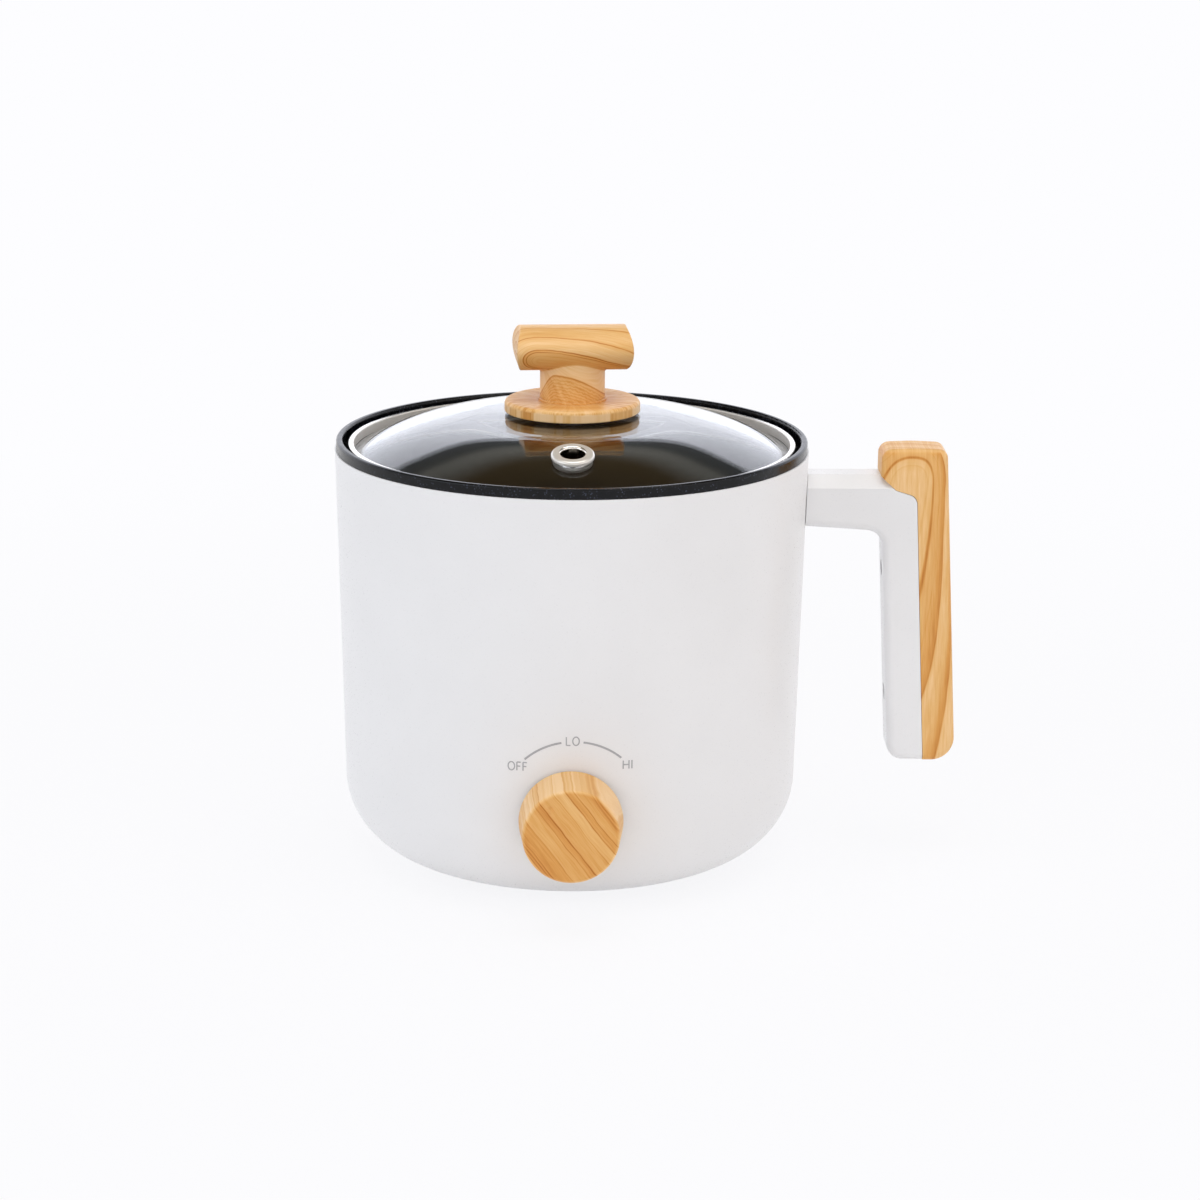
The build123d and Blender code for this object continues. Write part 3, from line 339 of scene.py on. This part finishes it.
def wood_bar():
    """Knob on the lid: long lines that fall to the right on the bar, an arch on the stem."""
    mm_per_radian = 11.3  # around the bar
    end_from = 19.0
    end_to = 20.0
    f = Finish("wood_bar")
    cos = math.cos(BAR_TURN)
    sin = math.sin(BAR_TURN)
    east, north, z = f.axes(f.place)
    x = f.add(f.mul(east, cos), f.mul(north, sin))
    y = f.sub(f.mul(north, cos), f.mul(east, sin))
    wobble = f.sway(f.place, 0.11, 0.5)
    up = f.mul(f.sub(z, BAR_MIDDLE), 1.0 / BAR_HALF_HEIGHT)
    out = f.mul(y, -1.0 / BAR_HALF_DEPTH)
    around = f.mul(f.math("ARCTAN2", up, out), mm_per_radian)
    rings = bar_rings(f, x, around, wobble)
    below = f.remap(f.add(f.mul(up, up), f.mul(out, out)), 1.03, 1.10)
    tone = f.mix(below, f.ramp(rings, BAR_LINES), stem_tone(f, x, z, wobble))
    normal_x, normal_y, _ = f.axes(f.surface["Normal"])
    endways = f.math("ABSOLUTE", f.add(f.mul(normal_x, cos), f.mul(normal_y, sin)))
    at_end = f.mul(f.remap(endways, 0.8, 0.95), f.remap(f.math("ABSOLUTE", x), end_from, end_to))
    tone = f.mix(at_end, tone, end_tone(f, y, z, wobble))
    return wood(f, tone, rings, x)


def wood_disc():
    """Disc under the lid's knob: streaks that fan out on its top, a bow at the front, patches on its edge."""
    bow_bend = -0.006
    bow_shift = DISC_BOW[-1][0]
    mm_per_radian = 7.0  # across the grain
    tone_shift = 0.05
    edge_top = DISC_TOP - 0.9
    f = Finish("wood_disc")
    x, y, z = f.axes(f.place)
    turn = f.math("ARCTAN2", y, x)
    reach = f.hypot(x, y)
    cos = f.math("COSINE", turn)
    sin = f.math("SINE", turn)
    streaks = f.ramp(f.noise(f.point(cos, sin, f.mul(reach, 0.006)), 5.5, 3.0, 0.6), DISC_STREAKS)
    patches = f.ramp(f.noise(f.point(cos, sin, 2.4), 2.3, 2.0), DISC_PATCHES)
    tone = f.mix(f.remap(z, DISC_TOP - 1.5, edge_top), patches, streaks)
    bow = f.ramp(f.add(f.add(y, f.mul(f.mul(x, x), bow_bend)), bow_shift), DISC_BOW)
    ahead = f.remap(f.sub(f.mul(y, -1.0), f.math("ABSOLUTE", x)), 3.0, 7.0)
    on_top = f.remap(z, edge_top, DISC_TOP - 0.2)
    tone = f.mix(f.mul(ahead, on_top), tone, bow)
    return wood(f, f.sub(tone, tone_shift), f.mul(turn, mm_per_radian), reach)


def wood_dial():
    """Dial: bundles of straight lines that fall from upper left to lower right, with painted light that makes
    its side paler and painted shade that makes its face darker.
    """
    lean = math.radians(37.45)
    face_edge = (15.9, 16.8)
    middle_place = DIAL_LINES[-1][0] / 2
    f = Finish("wood_dial")
    x, _, z = f.axes(f.place)
    high = f.sub(z, DIAL_Z)
    straight_across = f.add(f.mul(x, math.cos(lean)), f.mul(high, math.sin(lean)))
    across = f.add(straight_across, f.sway(f.place, 0.09, 0.45))
    along = f.sub(f.mul(x, math.sin(lean)), f.mul(high, math.cos(lean)))
    tone = f.ramp(f.add(across, middle_place), DIAL_LINES)
    # painted light and shade: the side is made paler and the front face a little darker, as the light falls
    # on them
    painted_side_light = f.remap(f.hypot(x, high), *face_edge, 0.1, -0.26)
    return wood(f, f.add(tone, painted_side_light), across, along)


# Growth rings of the handle: the first stands at RING_X down to RING_Z and bends to the seam below,
# and each next one is a step out and down
RING_X = 132.3
RING_Z = 140.0
STEP_OUT = 4.7
STEP_DOWN = 31.0
RING_BEND = 0.00255


def grip_rings(f, x, z):
    """Number of the ring at a place on the grip, worked out from the bend's square equation."""
    curve = STEP_DOWN**2 * RING_BEND
    below = f.sub(RING_Z, z)
    upright = f.mul(f.sub(x, RING_X), 1.0 / STEP_OUT)
    slope = f.add(f.mul(below, 2.0 * STEP_DOWN * RING_BEND), STEP_OUT)
    rest = f.sub(f.sub(RING_X, f.mul(f.mul(below, below), RING_BEND)), x)
    square = f.add(f.mul(slope, slope), f.mul(rest, 4.0 * curve))
    root = f.math("SQRT", f.math("MAXIMUM", square, 0.0))
    bent = f.mul(f.sub(slope, root), 0.5 / curve)
    above_bend = f.math("GREATER_THAN", f.mul(upright, STEP_DOWN), below)
    return f.mix(above_bend, bent, upright)


def head_rings(f, x, z):
    """Number of the ring at a place on the head: arches that are squarer at their right."""
    arch_x = 124.0
    arch_z = 141.0
    arch_height = 11.6
    reach_right = 8.3
    reach_left = 9.8
    aside = f.sub(x, arch_x)
    wide = f.math("MAXIMUM", f.mul(aside, 1.0 / reach_right), f.mul(aside, -1.0 / reach_left))
    tall = f.mul(f.math("MAXIMUM", f.sub(z, arch_z), 0.0), 1.0 / arch_height)
    squareness = f.remap(aside, -1.0, 1.0, 2.0, 3.0)
    arch = f.add(f.math("POWER", wide, squareness), f.math("POWER", tall, squareness))
    arch = f.math("POWER", arch, f.math("DIVIDE", 1.0, squareness))
    return f.mul(f.sub(arch, 1.0), reach_right / STEP_OUT)


def wood_grip():
    """Handle: growth rings that arch over the head, run down the grip and lean to the seam one by one."""
    first_ring = 2.0  # its place among the lines
    head_foot = (136.0, 142.0)
    top_edge = (HEAD_TOP - 1.64, HEAD_TOP - 0.64)
    top_shift = -4.0
    top_lean = 0.12
    outer_shift = 12.0
    outer_lean = 0.02
    f = Finish("wood_grip")
    x, y, z = f.axes(f.place)
    x = f.add(x, f.sway(f.point(x, y, f.mul(z, 0.3)), 0.12, 0.5))
    in_head = f.remap(z, *head_foot, smooth=True)
    rings = f.mix(in_head, grip_rings(f, x, z), head_rings(f, x, z))
    front = f.ramp(f.add(rings, first_ring), GRIP_LINES)
    top = f.ramp(f.add(f.add(y, f.mul(x, top_lean)), top_shift), HEAD_LINES)
    tone = f.mix(f.remap(z, *top_edge), front, top)
    drift = f.sway(f.point(f.mul(y, 0.4), 0.0, f.mul(z, 0.05)), 0.4, 2.0)
    outer = f.ramp(f.add(f.add(f.add(y, f.mul(z, outer_lean)), drift), outer_shift), OUTER_LINES)
    outward = f.remap(f.axes(f.surface["Normal"])[0], 0.8, 0.95)
    return wood(f, f.mix(outward, tone, outer), x, z)


def nonstick():
    """Dark coat with fine pale flecks, browner inside the pot than on its rim."""
    rim_foot = (RIM_TOP - 9.0, RIM_TOP - 7.0)
    brown_top = RIM_TOP - 13.0
    f = Finish("nonstick")
    _, _, z = f.axes(f.place)
    specks = f.cells(f.place, 1.1)
    cloud = f.noise(f.place, 0.35, 3.0)
    fleck = f.mul(f.remap(specks, 0.1, 0.34, 1.0, 0.0), f.remap(cloud, 0.4, 0.6))
    fleck = f.mul(fleck, f.remap(z, *rim_foot, 0.1, 0.55))
    tone = f.mix(f.remap(z, brown_top, rim_foot[0]), linear(44, 37, 29), linear(3, 4, 8))
    tone = f.mix(f.remap(cloud, 0.3, 0.7, 0.0, 0.2), tone, linear(36, 36, 40))
    glossier = f.remap(z, *rim_foot, 0.0, -0.2)
    f.set(
        Base_Color=f.mix(fleck, tone, linear(88, 96, 116)),
        Roughness=f.add(f.remap(cloud, 0.3, 0.7, 0.34, 0.46), glossier),
        Specular_IOR_Level=0.24,
    )
    f.bump(specks, 0.06, 0.05)
    return f


def lid_clear():
    """Tempered glass, with a trace of wipe marks in its gloss and the dome's true normals."""
    least_reach = 0.1
    near_dome = 0.98  # least cosine between the mesh's normal and the dome's
    f = Finish("lid_clear")
    x, y, z = f.axes(f.place)
    normal = f.surface["Normal"]
    haze = f.noise(f.point(x, f.mul(y, 0.4), z), 0.05, 3.0)
    facing = f.math("SIGN", f.axes(normal)[2])
    outer = f.mul(facing, f.remap(f.surface["Backfacing"], 0.0, 1.0, 1.0, -1.0))
    inward = f.remap(outer, -1.0, 1.0, GLASS_THICKNESS, 0.0)
    reach = f.math("MAXIMUM", f.hypot(x, y), least_reach)
    crown = f.math("DIVIDE", reach, f.sub(CROWN_RADIUS, inward))
    shoulder = f.math("DIVIDE", f.sub(reach, SHOULDER_X), f.sub(SHOULDER_RADIUS, inward))
    lean = f.math("MAXIMUM", crown, shoulder)
    level = f.math("SQRT", f.sub(1.0, f.mul(lean, lean)))
    out = f.mul(f.math("DIVIDE", lean, reach), facing)
    dome_normal = f.point(f.mul(x, out), f.mul(y, out), f.mul(level, facing))
    on_dome = f.math("GREATER_THAN", f.dot(normal, dome_normal), near_dome)
    f.set(
        Base_Color=linear(236, 238, 240),
        Roughness=f.remap(haze, 0.45, 0.8, 0.0, 0.004),
        Normal=f.mix(on_dome, normal, dome_normal),
        Transmission_Weight=1.0,
        IOR=1.5,
    )
    return f


def bright_steel():
    """Polished steel of the lid's band; on its inner wall and around the steam eyelet's bore it turns rougher
    and mostly not metallic, so its pale base colour shows there as a painted reflection of the bright
    surroundings.
    """
    f = plain("bright_steel", (238, 234, 227), (234, 229, 221), 0.12, grain=2.0, patch=0.2, metal=1.0,
              relief=0.03, spread=0.06)
    x, y, z = f.axes(f.place)
    wall = f.remap(f.hypot(x, y), *BAND_WALL, 1.0, 0.0)
    from_axis = f.add(f.sub(y, EYELET_Y), f.mul(f.sub(z, EYELET_Z), EYELET_LEAN))
    reach = f.hypot(x, from_axis)
    eyelet = f.remap(reach, *EYELET_REACH, 1.0, 0.0)
    bore = f.remap(reach, *EYELET_BORE, 1.0, 0.0)
    # painted reflection: where this mask is high the steel is mostly not metallic, so its pale cream base
    # colour stands in for the reflection of the bright surroundings; it also makes the steel rougher
    satin_and_painted_reflection = f.math("MAXIMUM", f.mul(wall, f.sub(1.0, eyelet)), f.mul(eyelet, 0.62))
    satin_and_painted_reflection = f.mul(satin_and_painted_reflection, f.sub(1.0, bore))
    f.set(Metallic=f.remap(satin_and_painted_reflection, 0.0, 1.0, 1.0, 0.12), Roughness=f.remap(satin_and_painted_reflection, 0.0, 1.0, 0.10, 0.28))
    return f


def wire_green():
    """Earth wire: green insulation with yellow stripes."""
    stripes_per_mm = 2.6
    f = Finish("wire_green")
    x, y, z = f.axes(f.place)
    wave = f.math("SINE", f.mul(f.add(f.add(x, y), z), stripes_per_mm))
    f.set(
        Base_Color=f.mix(f.remap(wave, -0.1, 0.1), linear(66, 140, 58), linear(222, 206, 70)),
        Roughness=f.remap(f.noise(f.place, 1.0), 0.3, 0.7, 0.42, 0.52),
    )
    return f


# Plain finishes: light and dark tone, roughness, and what differs from the usual grain
PLAIN_FINISHES = {
    "white_plastic": ((238, 238, 239), (235, 235, 236), 0.30,
                      dict(grain=1.6, patch=0.02, relief=0.04, spread=0.06, specular=0.42)),
    "base_plastic": ((232, 230, 229), (224, 222, 221), 0.55, dict(grain=2.4)),
    "seal_rubber": ((70, 70, 72), (58, 58, 60), 0.65, {}),
    "plate_aluminium": ((205, 206, 208), (182, 183, 186), 0.38, dict(metal=1.0)),
    "element_steel": ((120, 116, 112), (92, 86, 82), 0.5, dict(metal=1.0)),
    "shield_steel": ((196, 198, 202), (176, 178, 182), 0.34, dict(metal=1.0)),
    "fixing_steel": ((190, 192, 196), (160, 162, 168), 0.3, dict(metal=1.0)),
    "terminal_brass": ((222, 188, 120), (196, 158, 92), 0.28, dict(metal=1.0)),
    "thermostat_body": ((92, 60, 42), (74, 48, 34), 0.5, {}),
    "fuse_body": ((232, 230, 222), (218, 214, 204), 0.6, {}),
    "foot_rubber": ((168, 168, 171), (150, 150, 153), 0.7, dict(relief=0.3)),
    "switch_plastic": ((52, 52, 55), (42, 42, 45), 0.45, {}),
    "inlet_plastic": ((34, 34, 37), (26, 26, 29), 0.42, {}),
    "pad_silicone": ((150, 122, 100), (134, 108, 88), 0.6, {}),
    "wire_brown": ((110, 72, 50), (96, 62, 42), 0.45, {}),
    "wire_blue": ((52, 92, 168), (44, 80, 150), 0.45, {}),
    "wire_white": ((228, 226, 218), (206, 204, 196), 0.75, dict(grain=1.2, relief=0.5)),
    "legend_ink": ((176, 176, 180), (168, 168, 172), 0.5, dict(patch=0.3)),
}
DRAWN_FINISHES = (wood_dial, wood_grip, wood_disc, wood_bar, nonstick, lid_clear, bright_steel, wire_green)
finishes = {}
for name, (light, dark, rough, options) in PLAIN_FINISHES.items():
    finishes[name] = plain(name, light, dark, rough, **options).material
for draw in DRAWN_FINISHES:
    finishes[draw.__name__] = draw().material
for entry in frame["record"]["subparts"]:
    mesh = nodes[entry["node"]].data
    mesh.materials.clear()
    mesh.materials.append(finishes[entry["material_slot"]])

# Legend above the dial, in millimetres: arcs between two angles, in degrees, and words by their middles,
# as x and as rise above the dial's middle
LEGEND_X = 0.93
LEGEND_Z = DIAL_Z + 4.07
LEGEND_RADIUS = 24.86
LEGEND_ARCS = ((-44.1, -10.3), (7.6, 41.8))
ARC_STEPS = 24
LEGEND_STROKE = 0.72
LEGEND_LIFT = 0.04
LEGEND_STEP = 0.5
WORDS = (("LO", 0.46, 29.19), ("OFF", -18.88, 19.23), ("HI", 19.74, 19.98))
LETTER_STROKE = 0.42
CAPITAL_HEIGHT = 3.5
LETTER_HEIGHT = CAPITAL_HEIGHT - LETTER_STROKE  # between the middles of the strokes
LETTER_GAP = 0.8

# Plain capitals: width as a share of the height, and strokes as shares of the width and the height
LETTER_SHARES = {
    "L": (0.47, (((0, 0), (0, 1)), ((0, 0), (1, 0)))),
    "F": (0.44, (((0, 0), (0, 1)), ((0, 1), (1, 1)), ((0, 0.52), (0.88, 0.52)))),
    "H": (0.66, (((0, 0), (0, 1)), ((1, 0), (1, 1)), ((0, 0.5), (1, 0.5)))),
    "I": (0.08, (((1, 0), (1, 1)),)),
}
ROUND_SHARE = 0.74  # width of the letter O, of its height
ROUND_STEPS = 32


def on_shell(x, z):
    """Place just proud of the shell's front for a point in the legend's plane, in metres."""
    radius = SHELL_TOP_RADIUS - SHELL_TAPER * (SHELL_TOP - z) / (SHELL_TOP - SHELL_FOOT) + LEGEND_LIFT
    return Vector((x, -math.sqrt(radius**2 - x**2), z)) * MM


def ribbon(points, width, closed):
    """Left and right edge of a flat stroke along points in the legend's plane."""
    count = len(points)
    left, right = [], []
    for i, (x, z) in enumerate(points):
        before = points[(i - 1) % count] if closed or i > 0 else points[i]
        after = points[(i + 1) % count] if closed or i < count - 1 else points[i]
        dx, dz = after[0] - before[0], after[1] - before[1]
        size = math.hypot(dx, dz)
        nx, nz = -dz / size * width / 2, dx / size * width / 2
        left.append((x + nx, z + nz))
        right.append((x - nx, z - nz))
    return left, right


def straight(a, b):
    """Points along a straight stroke, close enough to follow the shell."""
    steps = max(2, int(math.dist(a, b) / LEGEND_STEP))
    return [(a[0] + (b[0] - a[0]) * i / steps, a[1] + (b[1] - a[1]) * i / steps) for i in range(steps + 1)]


def letter(name):
    """Lines of a plain capital, each closed or not, from its lower left corner, and its width."""
    if name == "O":
        half_width, half_height = ROUND_SHARE * LETTER_HEIGHT / 2, LETTER_HEIGHT / 2
        turns = [2 * math.pi * step / ROUND_STEPS for step in range(ROUND_STEPS)]
        ring = [(half_width * (1 + math.cos(t)), half_height * (1 + math.sin(t))) for t in turns]
        return [(ring, True)], 2 * half_width
    width_share, strokes = LETTER_SHARES[name]
    width = width_share * LETTER_HEIGHT
    lines = []
    for ends in strokes:
        a, b = [(across * width, up * LETTER_HEIGHT) for across, up in ends]
        lines.append((straight(a, b), False))
    return lines, width


def word_strokes(word, middle_x, middle_z):
    """Strokes of a word in the legend's plane: points, closed or not, and width."""
    letters = [letter(name) for name in word]
    x = middle_x - (sum(width for _, width in letters) + LETTER_GAP * (len(word) - 1)) / 2
    z = middle_z - LETTER_HEIGHT / 2
    strokes = []
    for lines, width in letters:
        for line, closed in lines:
            strokes.append(([(px + x, pz + z) for px, pz in line], closed, LETTER_STROKE))
        x += width + LETTER_GAP
    return strokes


def arc_stroke(first, last):
    """Stroke along an arc of the legend."""
    turns = [math.radians(first + (last - first) * step / ARC_STEPS) for step in range(ARC_STEPS + 1)]
    arc = [(LEGEND_X + LEGEND_RADIUS * math.sin(t), LEGEND_Z + LEGEND_RADIUS * math.cos(t)) for t in turns]
    return arc, False, LEGEND_STROKE


def legend():
    """The legend as one flat piece that lies on the shell."""
    strokes = [arc_stroke(first, last) for first, last in LEGEND_ARCS]
    for word, middle_x, rise in WORDS:
        strokes += word_strokes(word, middle_x, DIAL_Z + rise)
    mesh = bmesh.new()
    for line, closed, width in strokes:
        left, right = ribbon(line, width, closed)
        a = [mesh.verts.new(on_shell(x, z)) for x, z in left]
        b = [mesh.verts.new(on_shell(x, z)) for x, z in right]
        last = len(a) if closed else len(a) - 1
        for i in range(last):
            k = (i + 1) % len(a)
            mesh.faces.new((a[i], b[i], b[k], a[k]))
    bmesh.ops.recalc_face_normals(mesh, faces=mesh.faces)
    data = bpy.data.meshes.new("dial_legend")
    mesh.to_mesh(data)
    mesh.free()
    piece = bpy.data.objects.new("dial_legend", data)
    scene.collection.objects.link(piece)
    data.materials.append(finishes["legend_ink"])
    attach(piece, "base")


legend()

# Camera of the photograph: place in metres, angles in radians, lens and sensor in millimetres
CAMERA_PLACE = (-0.00593, -1.15240, 0.40415)
CAMERA_TILT = 0.26145  # down
CAMERA_ROLL = 0.00853
CAMERA_TURN = math.radians(-0.83)  # about the upright
CAMERA_LENS = 96.03
CAMERA_SENSOR = 36.0


def set_camera():
    data = bpy.data.cameras.new("camera")
    data.lens = CAMERA_LENS
    data.sensor_width = CAMERA_SENSOR
    camera = bpy.data.objects.new("camera", data)
    scene.collection.objects.link(camera)
    scene.camera = camera
    ahead = Vector((0, math.cos(CAMERA_TILT), -math.sin(CAMERA_TILT)))
    upright = Vector((0, math.sin(CAMERA_TILT), math.cos(CAMERA_TILT)))
    level = Vector((1, 0, 0))
    right = level * math.cos(CAMERA_ROLL) + upright * math.sin(CAMERA_ROLL)
    up = upright * math.cos(CAMERA_ROLL) - level * math.sin(CAMERA_ROLL)
    facing = Matrix.Rotation(CAMERA_TURN, 3, "Z") @ Matrix((right, up, -ahead)).transposed()
    camera.matrix_world = Matrix.Translation(CAMERA_PLACE) @ facing.to_4x4()


set_camera()

# Ground: colour that the camera sees, colour that takes light, and half width in metres
GROUND = linear(253, 253, 255)
GROUND_DIFFUSE = (0.94, 0.94, 0.945, 1.0)
GROUND_HALF = 6.0
GROUND_NEAR = 0.12  # distance from the pot's axis where the plain colour has GROUND_SHARE
GROUND_FAR = 0.75  # distance where it has all
GROUND_SHARE = 0.9


def lay_floor():
    mesh = bpy.data.meshes.new("floor")
    signs = ((-1, -1), (1, -1), (1, 1), (-1, 1))
    corners = [(GROUND_HALF * sx, GROUND_HALF * sy, 0) for sx, sy in signs]
    mesh.from_pydata(corners, [], [(0, 1, 2, 3)])
    floor = bpy.data.objects.new("floor", mesh)
    scene.collection.objects.link(floor)
    material = bpy.data.materials.new("floor")
    material.use_nodes = True
    mesh.materials.append(material)
    g = Graph(material.node_tree)
    g.tree.nodes.remove(g.tree.nodes["Principled BSDF"])
    diffuse = g.node("ShaderNodeBsdfDiffuse")
    diffuse.inputs["Color"].default_value = GROUND_DIFFUSE
    glow = g.node("ShaderNodeEmission")
    glow.inputs["Color"].default_value = GROUND
    path = g.node("ShaderNodeLightPath").outputs
    seen = g.math("MAXIMUM", path["Is Camera Ray"], path["Is Glossy Ray"])
    seen = g.math("MAXIMUM", seen, path["Is Transmission Ray"])
    east, north, _ = g.axes(g.node("ShaderNodeTexCoord").outputs["Object"])
    share = g.remap(g.hypot(east, north), GROUND_NEAR, GROUND_FAR, GROUND_SHARE, 1.0, smooth=True)
    blend = g.node("ShaderNodeMixShader")
    g.feed(blend.inputs[0], g.mul(seen, share))
    g.feed(blend.inputs[1], diffuse.outputs[0])
    g.feed(blend.inputs[2], glow.outputs[0])
    g.feed(g.tree.nodes["Material Output"].inputs["Surface"], blend.outputs[0])


lay_floor()

# White tent: colours by height from straight down to straight up, and a brighter backdrop
TENT_STOPS = (
    (0.0, (0.95, 0.95, 1.0, 1.0)), (0.703, (0.95, 0.95, 1.0, 1.0)), (0.715, (0.12, 0.13, 0.14, 1.0)),
    (0.755, (0.15, 0.155, 0.15, 1.0)), (0.775, (0.42, 0.41, 0.37, 1.0)), (0.80, (0.36, 0.35, 0.31, 1.0)),
    (0.845, (0.17, 0.12, 0.06, 1.0)), (0.92, (0.17, 0.12, 0.06, 1.0)), (1.0, (0.12, 0.10, 0.08, 1.0)),
)
BACKDROP = (1.42, 1.45, 1.58, 1.0)
BACKDROP_DEPTH = (0.2, 0.7)
BACKDROP_TOP = (0.406, 0.43)
EDGE_MIDDLE = 0.015
EDGE_HALF = 0.32
EDGE_RISE = 0.12  # how much higher the tent's top edge is at its sides than in its middle


def hang_tent():
    world = bpy.data.worlds.new("tent")
    scene.world = world
    world.use_nodes = True
    w = Graph(world.node_tree)
    aside, back, rise = w.axes(w.node("ShaderNodeTexCoord").outputs["Generated"])
    from_middle = w.math("ABSOLUTE", w.sub(aside, EDGE_MIDDLE))
    height = w.sub(rise, w.remap(from_middle, 0.0, EDGE_HALF, 0.0, EDGE_RISE, smooth=True))
    tent = w.ramp(w.add(w.mul(height, 0.5), 0.5), TENT_STOPS)
    behind = w.mul(w.remap(back, *BACKDROP_DEPTH, smooth=True), w.remap(height, *BACKDROP_TOP, 1.0, 0.0))
    tent = w.mix(behind, tent, BACKDROP)
    camera_ray = w.node("ShaderNodeLightPath").outputs["Is Camera Ray"]
    w.feed(w.tree.nodes["Background"].inputs["Color"], w.mix(camera_ray, tent, GROUND))


hang_tent()

# Lamps: name, place, target and size in metres, power in watts, colour
LAMPS = (
    ("lamp_top", (0.1, -0.2, 1.5), (0.0, 0.0, 0.1), (1.4, 1.2), 11.8, (0.98, 0.99, 1.0)),
    ("lamp_left", (-1.5, -1.0, 0.75), (0.0, 0.0, 0.1), (1.2, 1.0), 4.9, (0.81, 0.91, 1.0)),
    ("lamp_right", (1.5, -0.8, 0.8), (0.0, 0.0, 0.1), (1.2, 1.0), 2.1, (1.0, 0.86, 0.7)),
    ("lamp_front", (0.7, -2.3, 0.6), (0.0, 0.0, 0.08), (1.6, 1.0), 2.0, (1.0, 0.94, 0.86)),
)
for name, place, target, size, power, color in LAMPS:
    lamp = bpy.data.lights.new(name, "AREA")
    lamp.shape = "RECTANGLE"
    lamp.size, lamp.size_y = size
    lamp.energy = power
    lamp.color = color
    stand = bpy.data.objects.new(name, lamp)
    scene.collection.objects.link(stand)
    stand.location = place
    stand.rotation_euler = (Vector(target) - Vector(place)).to_track_quat("-Z", "Y").to_euler()

scene.view_settings.view_transform = "Standard"
